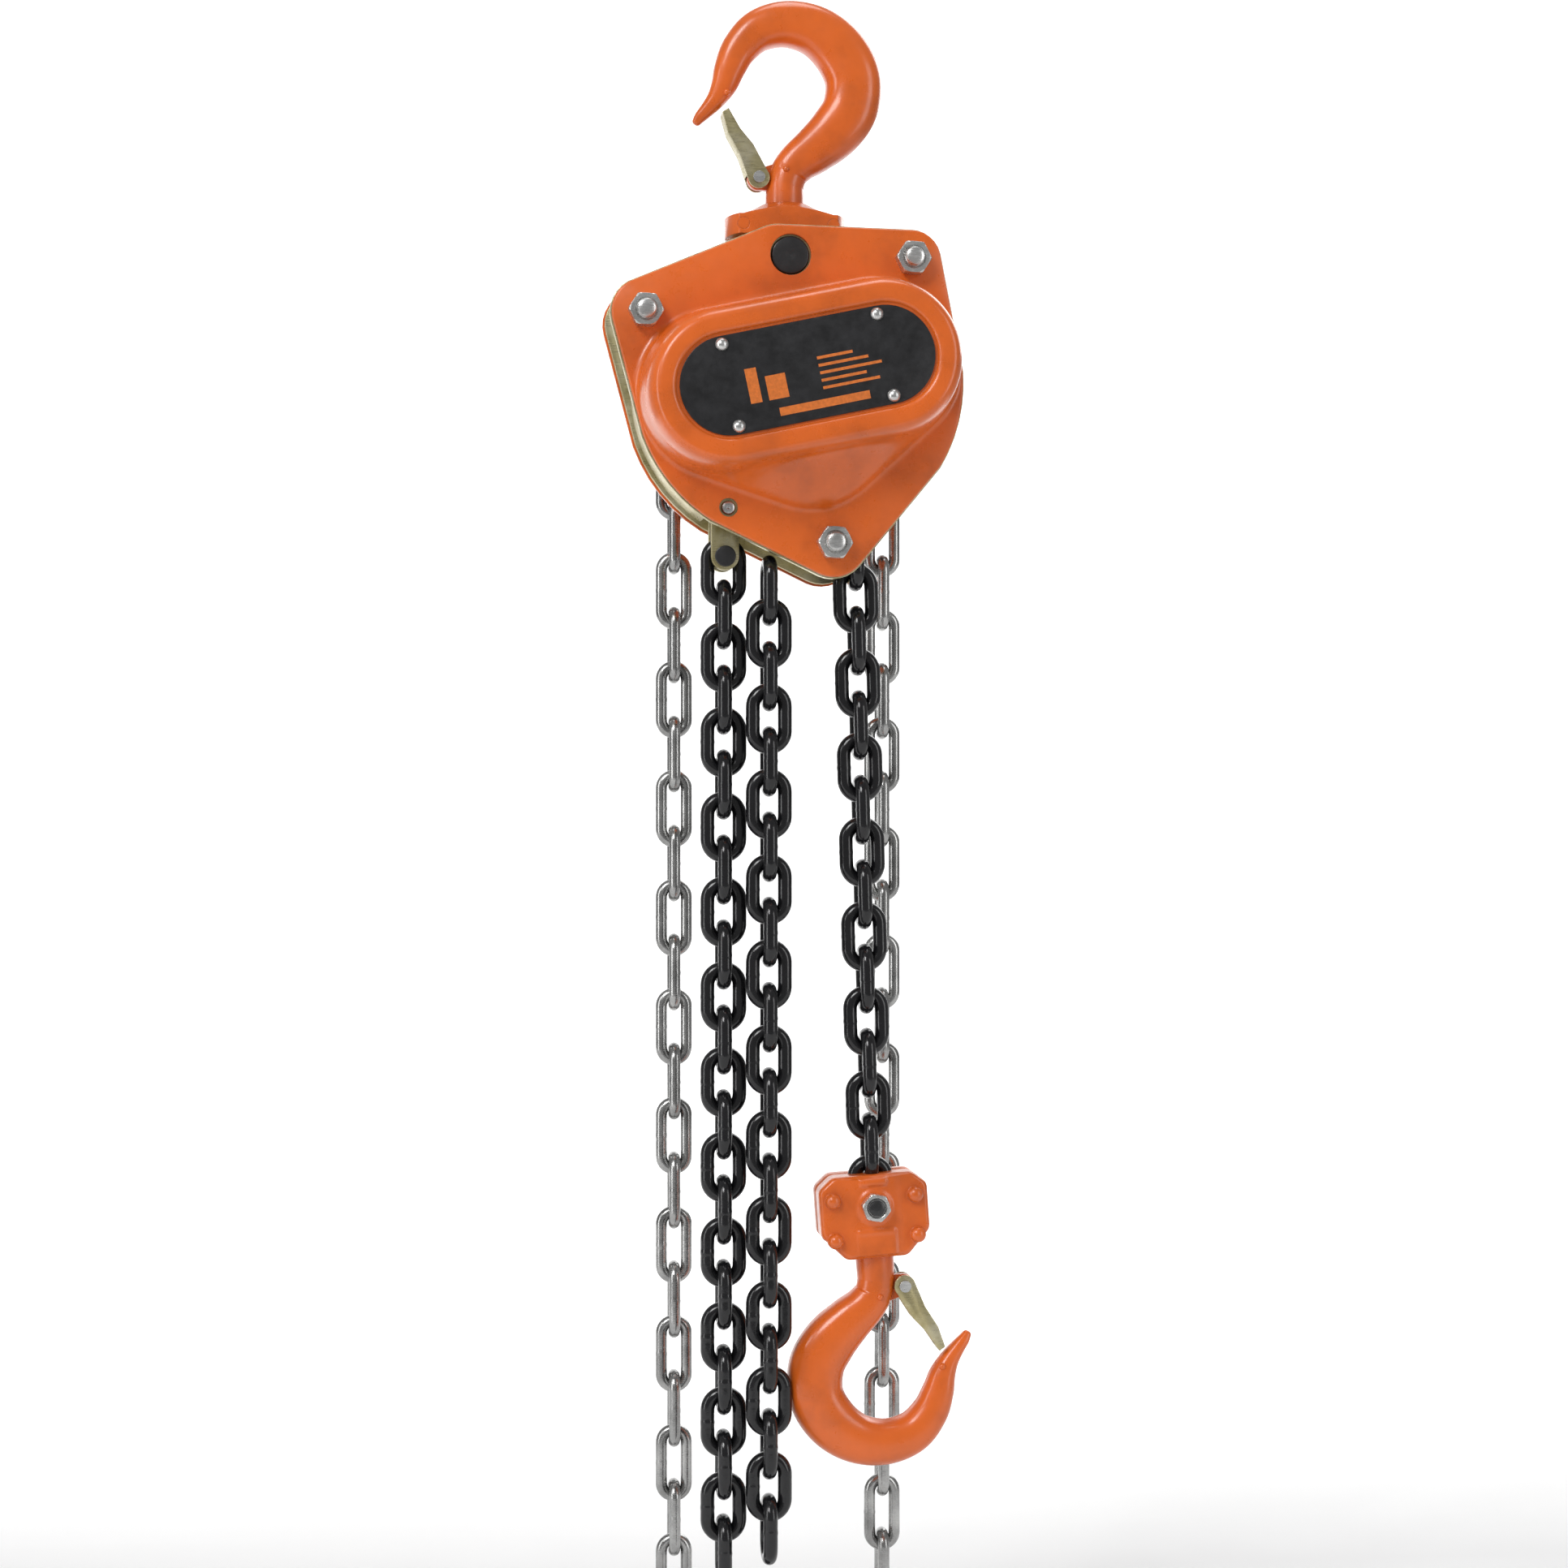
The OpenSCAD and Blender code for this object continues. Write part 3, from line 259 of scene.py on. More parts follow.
def label_black(name):
    """Gloss black plate with plain orange bars and blocks, in place of printed matter."""
    m = Shader(name)
    sep = m.node("ShaderNodeSeparateXYZ")
    turn = m.node("ShaderNodeMapping")
    turn.vector_type = "TEXTURE"
    m.feed(turn.inputs["Vector"], m.coords)
    turn.inputs["Location"].default_value = AXIS
    turn.inputs["Rotation"].default_value = (0, -ROLL, 0)
    m.feed(sep.inputs["Vector"], turn.outputs["Vector"])
    u, w = sep.outputs["X"], sep.outputs["Z"]
    art = stripes(m, m.maths("SUBTRACT", u, 0.004), w, -0.0146, 0.0017, 0.0190)
    art = m.maths("MAXIMUM", art, stripes(m, m.maths("ADD", u, 0.0235), w, -0.0020, 0.0072, 0.0024))
    art = m.maths("MAXIMUM", art, stripes(m, m.maths("ADD", u, 0.0140), w, -0.0042, 0.0050, 0.0042))
    for row, (centre, half) in enumerate(PRINT_ROWS):
        at = PRINT_TOP - PRINT_STEP * row
        bar = stripes(m, m.maths("SUBTRACT", u, centre), w, at, PRINT_HALF_HEIGHT, half)
        art = m.maths("MAXIMUM", art, bar)
    scuffed = m.maths("MULTIPLY", art, m.grey(m.noise(600, 4, 0.7), 0.75, 1.0))
    black = m.ramp(m.noise(120, 3, 0.6), (0.35, (0.010, 0.010, 0.011)), (0.65, (0.022, 0.022, 0.024)))
    m.set("Base Color", m.mix(scuffed, black, (0.78, 0.20, 0.035)))
    m.set("Roughness", m.grey(m.noise(300, 4, 0.6), 0.28, 0.42))
    m.bump(m.noise(900, 2, 0.5), 0.00003, 0.4, 0.0003)
    return m.mat


ORANGE = (0.72, 0.130, 0.012)
FINISH = {
    "hook_orange": orange_paint("hook_paint", ORANGE, 0.0),
    "cover_orange": orange_paint("cover_paint", ORANGE, 0.0006),
    "yellow_zinc": zinc_plate("yellow_zinc_plate",
                              ((0.40, 0.34, 0.16), (0.55, 0.49, 0.28), (0.66, 0.61, 0.43))),
    "bright_zinc": zinc_plate("bright_zinc_plate",
                              ((0.48, 0.48, 0.47), (0.68, 0.68, 0.67), (0.82, 0.82, 0.80)), (0.22, 0.38)),
    # Painted shade: the hand chain's zinc is a darker copy of the bright zinc plate, dimmed so its reflection of the
    # white floor stays grey
    "hand_chain_zinc": zinc_plate("hand_chain_plate_shaded",
                                  ((0.24, 0.24, 0.235), (0.38, 0.38, 0.375), (0.52, 0.52, 0.51)), (0.16, 0.30)),
    "load_chain_black": black_gloss("load_chain_lacquer", base=(0.006, 0.006, 0.007), rough=(0.10, 0.22)),
    "black_steel": black_gloss("black_steel_finish", base=(0.016, 0.016, 0.017), rough=(0.28, 0.45)),
    "machined_steel": machined("machined_steel_oiled", (0.52, 0.51, 0.49), 0.26),
    "cast_wheel": zinc_plate("cast_wheel_plate",
                             ((0.40, 0.40, 0.40), (0.56, 0.56, 0.55), (0.66, 0.66, 0.65)), (0.38, 0.55)),
    "label_black": label_black("rating_plate_finish"),
    "friction_brown": lining("friction_lining"),
    "bronze": machined("sintered_bronze", (0.55, 0.36, 0.18), 0.34),
    "spring_steel": machined("spring_wire", (0.30, 0.29, 0.28), 0.30),
}


def dress(obj, slot):
    obj.data.materials.clear()
    obj.data.materials.append(FINISH[slot])


# ---------------------------------------------------------------- mesh building


def shade(mesh, sharp=math.radians(38)):
    mesh.shade_smooth()
    mesh.set_sharp_from_angle(angle=sharp)


def piece(name, verts, faces, nodes, slot=None, matrix=None, sharp=38):
    """A new mesh that stands for CAD nodes, rides on their body and takes their slot's finish."""
    mesh = bpy.data.meshes.new(name)
    mesh.from_pydata([tuple(v) for v in verts], [], faces)
    if matrix is not None:
        mesh.transform(matrix)
    bm = bmesh.new()
    bm.from_mesh(mesh)
    bmesh.ops.remove_doubles(bm, verts=bm.verts, dist=1e-7)
    bmesh.ops.recalc_face_normals(bm, faces=bm.faces)
    bm.to_mesh(mesh)
    bm.free()
    shade(mesh, math.radians(sharp))
    obj = bpy.data.objects.new(name, mesh)
    bpy.context.scene.collection.objects.link(obj)
    slot = slot or SLOT_OF[nodes[0]]
    dress(obj, slot)
    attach(obj, BODY_OF[nodes[0]])
    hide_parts(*nodes)
    return obj


def grid_faces(rows, sides, closed_rows=False, caps=True):
    """Quads between rings of points, with end caps unless the rings close on themselves."""
    faces = []
    for i in range(rows if closed_rows else rows - 1):
        for k in range(sides):
            a, b = i * sides + k, i * sides + (k + 1) % sides
            c, d = ((i + 1) % rows) * sides + (k + 1) % sides, ((i + 1) % rows) * sides + k
            faces.append((a, b, c, d))
    if caps and not closed_rows:
        faces.append(tuple(range(sides - 1, -1, -1)))
        faces.append(tuple((rows - 1) * sides + k for k in range(sides)))
    return faces


class Build:
    """Collects several closed shapes into one mesh."""

    def __init__(self):
        self.verts, self.faces = [], []

    def add(self, verts, faces, matrix=None):
        at = len(self.verts)
        self.verts += [(matrix @ Vector(v)) if matrix is not None else Vector(v) for v in verts]
        self.faces += [tuple(i + at for i in f) for f in faces]

    def lathe(self, profile, centre, sides=64, shape=None):
        """A profile of (radius, y) turned about the depth axis at (x, z). shape(a) caps the radius."""
        verts = []
        for r, y in profile:
            for k in range(sides):
                a = 2 * math.pi * k / sides
                rr = min(r, shape(a)) if shape else r
                verts.append((centre[0] + rr * math.cos(a), y, centre[1] + rr * math.sin(a)))
        self.add(verts, grid_faces(len(profile), sides))

    def ball(self, x, y, z, r, sides=20, rings=10):
        rows = []
        for i in range(rings):
            a = math.pi * (i + 0.5) / rings
            rows += [((x + r * math.sin(a) * math.cos(2 * math.pi * k / sides)) * MM,
                      (y + r * math.cos(a)) * MM,
                      (z + r * math.sin(a) * math.sin(2 * math.pi * k / sides)) * MM) for k in range(sides)]
        self.add(rows, grid_faces(rings, sides))


def loose_parts(node):
    """Each separate solid of a CAD node: its triangles as an array of corner points."""
    bm = bmesh.new()
    bm.from_mesh(NODES[node].data)
    bmesh.ops.remove_doubles(bm, verts=bm.verts, dist=2e-6)
    bmesh.ops.triangulate(bm, faces=bm.faces)
    seen, parts = set(), []
    bm.faces.ensure_lookup_table()
    for start in bm.faces:
        if start.index in seen:
            continue
        stack, found = [start], []
        seen.add(start.index)
        while stack:
            face = stack.pop()
            found.append([v.co[:] for v in face.verts])
            for edge in face.edges:
                for other in edge.link_faces:
                    if other.index not in seen:
                        seen.add(other.index)
                        stack.append(other)
        parts.append(np.array(found))
    bm.free()
    return parts


def link_place(tris):
    """Where a chain link sits: its centre and its long, thin and wide directions.

    A CAD solid of several fused links counts as one link here.
    """
    cross = np.cross(tris[:, 1] - tris[:, 0], tris[:, 2] - tris[:, 0])
    area = np.linalg.norm(cross, axis=1) / 2
    mid = tris.mean(axis=1)
    centre = (mid * area[:, None]).sum(0) / area.sum()
    d = mid - centre
    _, axes = np.linalg.eigh((d * area[:, None]).T @ d)
    long, wide = axes[:, 2], axes[:, 1]
    long = long if long[2] < 0 or (abs(long[2]) < 1e-6 and long[0] > 0) else -long
    wide = wide if wide[0] + 0.3 * wide[1] > 0 else -wide
    thin = np.cross(wide, long)
    turn = Matrix([[long[i], thin[i], wide[i]] for i in range(3)]).to_4x4()
    return Matrix.Translation(Vector(centre)) @ turn


def link_shape(pitch, wire, width, weld, gap=0.1, steps=20, sides=18):
    """A welded link: a round wire bent to a stadium in its XZ plane, a little thicker at the weld."""
    ring, half = (width - wire) / 2, pitch / 2 - width / 2 + wire + gap
    line = []
    for k in range(steps + 1):
        a = -math.pi / 2 + math.pi * k / steps
        line.append((half + ring * math.cos(a), ring * math.sin(a)))
    straight = 14
    line += [(half - 2 * half * k / straight, ring) for k in range(1, straight)]
    for k in range(steps + 1):
        a = math.pi / 2 + math.pi * k / steps
        line.append((-half + ring * math.cos(a), ring * math.sin(a)))
    line += [(-half + 2 * half * k / straight, -ring) for k in range(1, straight)]
    n, verts = len(line), []
    for i, (x, z) in enumerate(line):
        before, after = line[i - 1], line[(i + 1) % n]
        t = Vector((after[0] - before[0], 0, after[1] - before[1])).normalized()
        out = Vector((t.z, 0, -t.x))
        bead = math.exp(-((x / (0.16 * wire)) ** 2)) if z < 0 and abs(x) < half else 0.0
        flash = math.exp(-((x / (0.30 * wire)) ** 2)) if z < 0 and abs(x) < half else 0.0
        r = wire / 2 * (1 + weld * bead - 0.03 * (flash - bead))
        for k in range(sides):
            a = 2 * math.pi * k / sides
            p = Vector((x, 0, z)) + out * (r * math.cos(a)) + Vector((0, r * math.sin(a), 0))
            verts.append(p * MM)
    return verts, grid_faces(n, sides, closed_rows=True)


def chain_piece(name, node, pitch, wire, width, weld):
    shape, build = link_shape(pitch, wire, width, weld), Build()
    for tris in loose_parts(node):
        build.add(*shape, link_place(tris))
    return piece(name, build.verts, build.faces, [node])


def soften(node, width, segments=3, angle=35):
    """Real rounded edges on a CAD node that stays shown."""
    obj = NODES[node]
    weld = obj.modifiers.new("weld", "WELD")
    weld.merge_threshold = 2e-6
    flat = obj.modifiers.new("flat", "DECIMATE")
    flat.decimate_type = "DISSOLVE"
    flat.angle_limit = math.radians(0.5)
    round_ = obj.modifiers.new("round", "BEVEL")
    round_.width = width * MM
    round_.segments = segments
    round_.limit_method = "ANGLE"
    round_.angle_limit = math.radians(angle)
    round_.harden_normals = True


# ---------------------------------------------------------------- hooks

# Stations from the hook's point to its shank: x, z, half width, half depth, in millimetres
HOOK_PATH = [(-37.6, -32.9, 1.9, 2.0), (-35.9, -30.6, 2.6, 2.9), (-32.6, -27, 3.3, 4), (-28.9, -22.4, 4.3, 5.2),
             (-25.7, -16.5, 5.7, 6.4), (-23.3, -9.5, 6.8, 7.3), (-19.2, -1.2, 7.8, 8), (-11.2, 6.6, 8.8, 8.8),
             (0.6, 9.7, 9.6, 9.6), (13.2, 7, 10.6, 10), (23.4, -1.2, 11.7, 10.2), (29.2, -13, 12, 10.4),
             (28, -25.6, 12, 10.2), (21.6, -35.3, 11.6, 9.8), (13.2, -43, 10.2, 9.2), (6, -48.6, 8.9, 8.6),
             (1.6, -54, 8.2, 8.2), (0, -60, 8.1, 8.1)]
SHANK = [(0, -66, 8.15, 8.15), (0, -75.2, 8.15, 8.15), (0, -75.5, 6.15, 6.15), (0, -80.5, 6.15, 6.15),
         (0, -80.8, 8.15, 8.15), (0, -82.1, 8.1, 8.1)]
EAR = (-11.5, -56.5)
FORGED_NUBS = ((-25.1, -5.0, -20.9), (-0.2, -7.4, -53.2), (-25.1, 5.0, -20.9), (-0.2, 7.4, -53.2))


def spline(p, steps):
    p = [np.array(q, float) for q in p]
    p = [p[0], *p, p[-1]]
    out = []
    for i in range(1, len(p) - 2):
        a, b, c, d = p[i - 1:i + 3]
        for k in range(steps):
            t = k / steps
            out.append(0.5 * (2 * b + (c - a) * t + (2 * a - 5 * b + 4 * c - d) * t * t
                              + (3 * b - a - 3 * c + d) * t ** 3))
    return out + [p[-2]]


def squircle(a, power):
    """A point at angle a on a unit section that is a circle at power 2 and flatter-faced above it."""
    c, s = math.cos(a), math.sin(a)
    return math.copysign(abs(c) ** (2 / power), c), math.copysign(abs(s) ** (2 / power), s)


def hook_piece(name, node, place):
    build = Build()
    rows = [r * np.array([1, 1, 0.985, 0.985]) for r in spline(HOOK_PATH, 7)]
    tip = [rows[0] * np.array([1, 1, k, k]) + np.array([-0.58 * d, -0.81 * d, 0, 0])
           for k, d in ((0.22, 1.3), (0.55, 1.15), (0.80, 0.8), (0.95, 0.35))]
    rows = tip + rows
    rows += [np.array(r, float) for r in SHANK]
    sides, verts = 40, []
    for i, row in enumerate(rows):
        a, b = rows[max(0, i - 1)], rows[min(len(rows) - 1, i + 1)]
        t = np.array([b[0] - a[0], b[1] - a[1]])
        t = t / np.linalg.norm(t)
        if i >= len(rows) - len(SHANK):
            t = np.array([0.0, -1.0])
        for k in range(sides):
            c, s = squircle(2 * math.pi * k / sides, 2.0 if i >= len(rows) - len(SHANK) - 8 else 2.5)
            verts.append(((row[0] - t[1] * row[2] * c) * MM, row[3] * s * MM,
                          (row[1] + t[0] * row[2] * c) * MM))
    build.add(verts, grid_faces(len(rows), sides))
    lug, n = [], 24
    outline = [(EAR[0] + 4.55 * math.cos(a), EAR[1] + 4.55 * math.sin(a))
               for a in [math.radians(95 + 185 * k / n) for k in range(n + 1)]]
    outline += [(-3.0, -61.5), (2.0, -60.0), (2.0, -48.5), (-3.0, -49.5), (-9.0, -51.4)]
    for y, inset in ((-2.15, 0.35), (-1.8, 0.0), (1.8, 0.0), (2.15, 0.35)):
        for x, z in outline:
            k = 1 - inset / 9
            lug.append(((EAR[0] + (x - EAR[0]) * k) * MM, y * MM, (EAR[1] + (z - EAR[1]) * k) * MM))
    build.add(lug, grid_faces(4, len(outline)))
    for x, y, z in FORGED_NUBS:
        build.ball(x, y, z, 1.5)
    return piece(name, build.verts, build.faces, [node], matrix=place, sharp=50)


BLOCK_TURN = Vector(JOINTS["bottom_hook_swivel"]["axis"])
BLOCK_ANGLE = math.atan2(BLOCK_TURN.x, -BLOCK_TURN.z)
SEAT = Vector(next(m["pos_m"] for m in frame["record"]["mounts"] if m["name"] == "bottom_hook_bowl"))
BOTTOM = Matrix.Translation(SEAT) @ Matrix.Rotation(-BLOCK_ANGLE, 4, "Y") @ Matrix.Rotation(math.pi, 4, "Y")
BLOCK = Matrix.Translation(Vector(JOINTS["block_swing"]["pos_m"])) @ Matrix.Rotation(-BLOCK_ANGLE, 4, "Y")

hook_piece("top_hook_forged", "top_hook", Matrix.Identity(4))
hook_piece("bottom_hook_forged", "bottom_hook", BOTTOM)

# ---------------------------------------------------------------- chains

# Pitch, wire and width in millimetres, then how far the weld stands out as a share of the wire
LOAD_LINK = (18, 6, 19.6, 0.035)
HAND_LINK = (24, 5, 16, 0.05)

for node in ("load_chain_wrap", "load_chain_lead", "load_chain_fall", "load_chain_slack"):
    chain_piece(node + "_links", node, *LOAD_LINK)
for node in ("hand_chain_wrap", "hand_chain_loop"):
    chain_piece(node + "_links", node, *HAND_LINK)

# ---------------------------------------------------------------- gear cover

# Centres of the two pins that pass the cover, as x and z in the body's frame
TOP_PIN, ANCHOR_PIVOT = (7.33, 51.8), (-40.2, -46.4)


def arc(x, z, r, a0, a1, n):
    return [(x + r * math.cos(math.radians(a0 + (a1 - a0) * i / n)),
             z + r * math.sin(math.radians(a0 + (a1 - a0) * i / n))) for i in range(n + 1)]


def body_outline(grow):
    return (arc(57.3, 40.2, 13 + grow, 2, 78, 12) + arc(2, 49, 17 + grow, 78, 103, 8)
            + arc(-57.3, 40.2, 14.6 + grow, 107, 184, 12) + arc(0, 0, 70.2 + grow, 188, 226, 10)
            + arc(0, -69.7, 14.8 + grow, 235, 307, 12) + arc(0, 0, 70.2 + grow, 317, 352, 10))


def polar(points, angles):
    """Distance from the origin to a closed outline along each angle."""
    p = np.array(points)
    q = np.roll(p, -1, axis=0)
    out = []
    for a in angles:
        d = np.array([math.cos(a), math.sin(a)])
        e = q - p
        den = d[0] * e[:, 1] - d[1] * e[:, 0]
        den = np.where(np.abs(den) < 1e-12, 1e-12, den)
        t = (p[:, 0] * e[:, 1] - p[:, 1] * e[:, 0]) / den
        s = (p[:, 0] * d[1] - p[:, 1] * d[0]) / den
        hit = t[(s >= -1e-9) & (s <= 1 + 1e-9) & (t > 0)]
        out.append(hit.max())
    return np.array(out)


def oval(r):
    return arc(33, 0, r, -90, 90, 40) + arc(-33, 0, r, 90, 270, 40)


def skirt(r):
    """The bulge where it meets the flange: the oval with a fuller belly below."""
    points = np.array(arc(33, 0.5, 35 + r, 0, 360, 72) + arc(-33, 0.5, 35 + r, 0, 360, 72)
                      + arc(0, -20.5, 33.5 + r, 0, 360, 72))
    order, hull = sorted(map(tuple, points)), []
    for side in (order, order[::-1]):
        chain = []
        for p in side:
            while len(chain) > 1 and ((chain[-1][0] - chain[-2][0]) * (p[1] - chain[-2][1])
                                      - (chain[-1][1] - chain[-2][1]) * (p[0] - chain[-2][0])) <= 0:
                chain.pop()
            chain.append(p)
        hull += chain[:-1]
    return hull


def cover_piece():
    n = 360
    angles = [2 * math.pi * k / n for k in range(n)]
    edge, base, crown = polar(body_outline(-0.6), angles), polar(skirt(0), angles), polar(oval(33.2), angles)
    flat = np.minimum(base + 3.4, edge - 0.9)
    rings = [(edge - 0.5, -19.05), (edge, -19.5), (edge, -20.8), (edge - 0.25, -21.25), (edge - 0.8, -21.5)]
    rings += [(flat, -21.5)]
    foot = np.minimum(base, edge - 1.4)
    for a in (20, 45, 70, 88):
        c, s = math.cos(math.radians(a)), math.sin(math.radians(a))
        rings.append((foot + (flat - foot) * (1 - s), -21.5 - 2.6 * (1 - c)))
    for t in np.linspace(0.15, 1.0, 9):
        ease = t * t * (3 - 2 * t)
        rings.append((foot + (np.minimum(crown, edge + 60) - foot) * (0.35 * t + 0.65 * ease), -24.1 - 15.9 * t))
    rings += [(polar(oval(r), angles), y) for r, y in
              ((32.9, -42.5), (32.4, -45.0), (31.7, -47.6), (30.9, -49.3), (29.9, -50.6), (28.9, -51.25),
               (27.6, -51.48), (24.0, -51.5), (22.9, -51.3), (22.2, -50.8), (21.8, -50.2), (21.6, -49.6),
               (21.0, -49.5))]
    outer = [[(r[k] * math.cos(a) * MM, y * MM, r[k] * math.sin(a) * MM) for k, a in enumerate(angles)]
             for r, y in rings]
    inner = []
    for (r, y) in reversed(rings[5:-4]):
        shrink = np.minimum(r - 2.1, foot - 0.4) if y < -22 else r
        depth = min(y + 2.2, -19.05) * MM
        inner.append([(shrink[k] * math.cos(a) * MM, depth, shrink[k] * math.sin(a) * MM)
                      for k, a in enumerate(angles)])
    build = Build()
    rows = outer + [[(x * 0.55, -49.5 * MM, z * 0.55) for x, _, z in outer[-1]]]
    build.add([p for row in rows for p in row], grid_faces(len(rows), n, caps=False))
    last = len(rows) - 1
    build.faces.append(tuple(last * n + k for k in range(n)))
    back = [[(x * 0.97, -47.3 * MM, z * 0.97) for x, _, z in outer[-1]]] + inner
    at = len(build.verts)
    build.add([p for row in back for p in row], grid_faces(len(back), n, caps=False))
    build.faces.append(tuple(at + k for k in range(n)))
    end = at + (len(back) - 1) * n
    build.faces += [(end + k, end + (k + 1) % n, (k + 1) % n, k) for k in range(n)]
    made = piece("gear_cover_pressing", build.verts, build.faces, ["gear_cover"], matrix=BODY, sharp=60)
    drill(made, [(*TOP_PIN, 8.6), (*ANCHOR_PIVOT, 3.9)])


def drill(obj, holes):
    """Round holes through a piece along the depth axis, in the body's frame."""
    for x, z, r in holes:
        cut = bpy.data.meshes.new("cut")
        build = Build()
        build.lathe([(r * MM, -0.030), (r * MM, -0.010)], (x * MM, z * MM), 64)
        cut.from_pydata([tuple(v) for v in build.verts], [], build.faces)
        cut.transform(BODY)
        bm = bmesh.new()
        bm.from_mesh(cut)
        bmesh.ops.recalc_face_normals(bm, faces=bm.faces)
        bm.to_mesh(cut)
        bm.free()
        tool = bpy.data.objects.new("cut", cut)
        bpy.context.scene.collection.objects.link(tool)
        change = obj.modifiers.new("drill", "BOOLEAN")
        change.operation, change.solver, change.object = "DIFFERENCE", "EXACT", tool
        bpy.context.view_layer.update()
        done = bpy.data.meshes.new_from_object(obj.evaluated_get(bpy.context.evaluated_depsgraph_get()))
        obj.modifiers.clear()
        obj.data = done
        bpy.data.objects.remove(tool)
    shade(obj.data, math.radians(50))


cover_piece()

# ---------------------------------------------------------------- nuts, bolt ends and the pins' ends

BOLTS = ((-57.3, 40.2), (57.3, 40.2), (0, -69.7))
# Profiles of (radius, y). The lower bolt has no thicker middle.
STAY_SHAFT = ((3.6, -20.2), (3.98, -19.8), (3.98, 19.8), (3.6, 20.2))
STAY_SPACER = ((4.6, -14.97), (5.2, -14.97), (5.58, -14.5), (5.58, 14.5), (5.2, 14.97), (4.6, 14.97))


def hexagon(across, turn):
    return lambda a: across / 2 * MM / math.cos((a - turn + math.pi / 6) % (math.pi / 3) - math.pi / 6)


def nut(build, x, z, across, inner, face, top, turn):
    """A chamfered nut with a thin bearing washer face, standing from y = face to y = top."""
    way = 1 if top > face else -1
    deep = abs(top - face)
    full = across / 2 / math.cos(math.pi / 6)
    steps = [(full * 0.90, 0), (full * 0.90, 0.35), (full * 0.93, 0.38), (full * 1.001, 0.95),
             (full * 1.001, deep - 1.0), (full * 0.955, deep - 0.4), (full * 0.88, deep - 0.08),
             (inner + 0.9, deep), (inner + 0.15, deep - 0.55)]
    build.lathe([(r * MM, (face + way * y) * MM) for r, y in steps], (x * MM, z * MM), 96, hexagon(across, turn))


def thread_end(build, x, z, r, y0, y1, pitch=1.25):
    """A bolt end with thread grooves and a domed tip."""
    way = 1 if y1 > y0 else -1
    length, profile, t = abs(y1 - y0), [], 0.0
    while t < length - 1.2:
        profile += [(r - 0.03, t), (r - 0.03, t + 0.15 * pitch),
                    (r - 0.55, t + 0.55 * pitch), (r - 0.55, t + 0.65 * pitch)]
        t += pitch
    profile += [(r - 0.1, length - 1.0), (r - 0.35, length - 0.55), (r - 1.1, length - 0.2),
                (r - 2.4, length - 0.02), (0.2, length)]
    build.lathe([(q * MM, (y0 + way * y) * MM) for q, y in profile], (x * MM, z * MM), 48)


def stay_fasteners():
    nuts, bolts = Build(), Build()
    for x, z in BOLTS:
        for side in (-1, 1):
            nut(nuts, x, z, 13, 4.0, side * 21.5, side * 28.0, math.radians(15))
            thread_end(bolts, x, z, 4.0, side * 20.0, side * 31.4)
        for profile in (STAY_SHAFT, STAY_SPACER) if x else (STAY_SHAFT,):
            bolts.lathe([(r * MM, y * MM) for r, y in profile], (x * MM, z * MM), 48)
    piece("stay_nut_set", nuts.verts, nuts.faces, ["stay_nuts"], matrix=BODY, sharp=25)
    piece("stay_bolt_set", bolts.verts, bolts.faces, ["stay_bolts"], matrix=BODY, sharp=32)


stay_fasteners()


def block_fasteners():
    nuts = Build()
    nut(nuts, 0, 0, 11, 3.5, -13.0, -18.0, math.radians(15))
    piece("block_nut", nuts.verts, nuts.faces, ["block_pin_nut"], matrix=BLOCK, sharp=25)
    pin = Build()
    thread_end(pin, 0, 0, 3.5, -12.0, -19.15, 1.0)
    pin.lathe([(r * MM, y * MM) for r, y in ((3.2, -12.2), (3.5, -11.9), (3.5, 13.0))], (0, 0), 48)
    nut(pin, 0, 0, 11, 0.2, 13.0, 17.5, math.radians(15))
    piece("block_bolt", pin.verts, pin.faces, ["block_pin"], matrix=BLOCK, sharp=25)


block_fasteners()


def domed_pin(name, node, r, y0, y1, centre, matrix):
    """A headless pin with chamfered ends and a centre-drill mark."""
    build = Build()
    profile = [(0.2, y0 + 0.5), (r * 0.22, y0 + 0.05), (r * 0.30, y0),
               (r - 0.9, y0), (r - 0.3, y0 + 0.25), (r - 0.02, y0 + 0.9),
               (r - 0.02, y1 - 0.9), (r - 0.3, y1 - 0.25), (r - 0.9, y1),
               (r * 0.30, y1), (r * 0.22, y1 - 0.05), (0.2, y1 - 0.5)]
    build.lathe([(q * MM, y * MM) for q, y in profile], (centre[0] * MM, centre[1] * MM), 64)
    piece(name, build.verts, build.faces, [node], matrix=matrix, sharp=30)


domed_pin("top_pin_turned", "top_pin", 8, -20.6, 20.6, TOP_PIN, BODY)
domed_pin("anchor_pivot_turned", "anchor_pivot_pin", 2.79, -20.8, 20.8, ANCHOR_PIVOT, BODY)

# ---------------------------------------------------------------- bottom block

BLOCK_OUTLINE = [(-17, 13.2), (17, 13.2), (23.3, 8), (23.3, -11.5),
                 (13.2, -22.2), (-13.2, -22.2), (-23.3, -11.5), (-23.3, 8)]
BLOCK_RIVETS = ((-17.6, 3.6), (17.6, 3.6), (-17.6, -13.4), (17.6, -13.4))
RIVET_R = 3.4


def rounded(points, r, n=6):
    """The outline with each corner turned to an arc of about radius r."""
    out = []
    for i, p in enumerate(points):
        p, a, b = Vector(p), Vector(points[i - 1]), Vector(points[(i + 1) % len(points)])
        u, v = (a - p).normalized(), (b - p).normalized()
        cut = min(r / math.tan(u.angle(v) / 2), (a - p).length * 0.45, (b - p).length * 0.45)
        s, e = p + u * cut, p + v * cut
        for k in range(n + 1):
            t = k / n
            out.append(tuple((1 - t) ** 2 * s + 2 * t * (1 - t) * p + t * t * e))
    return out


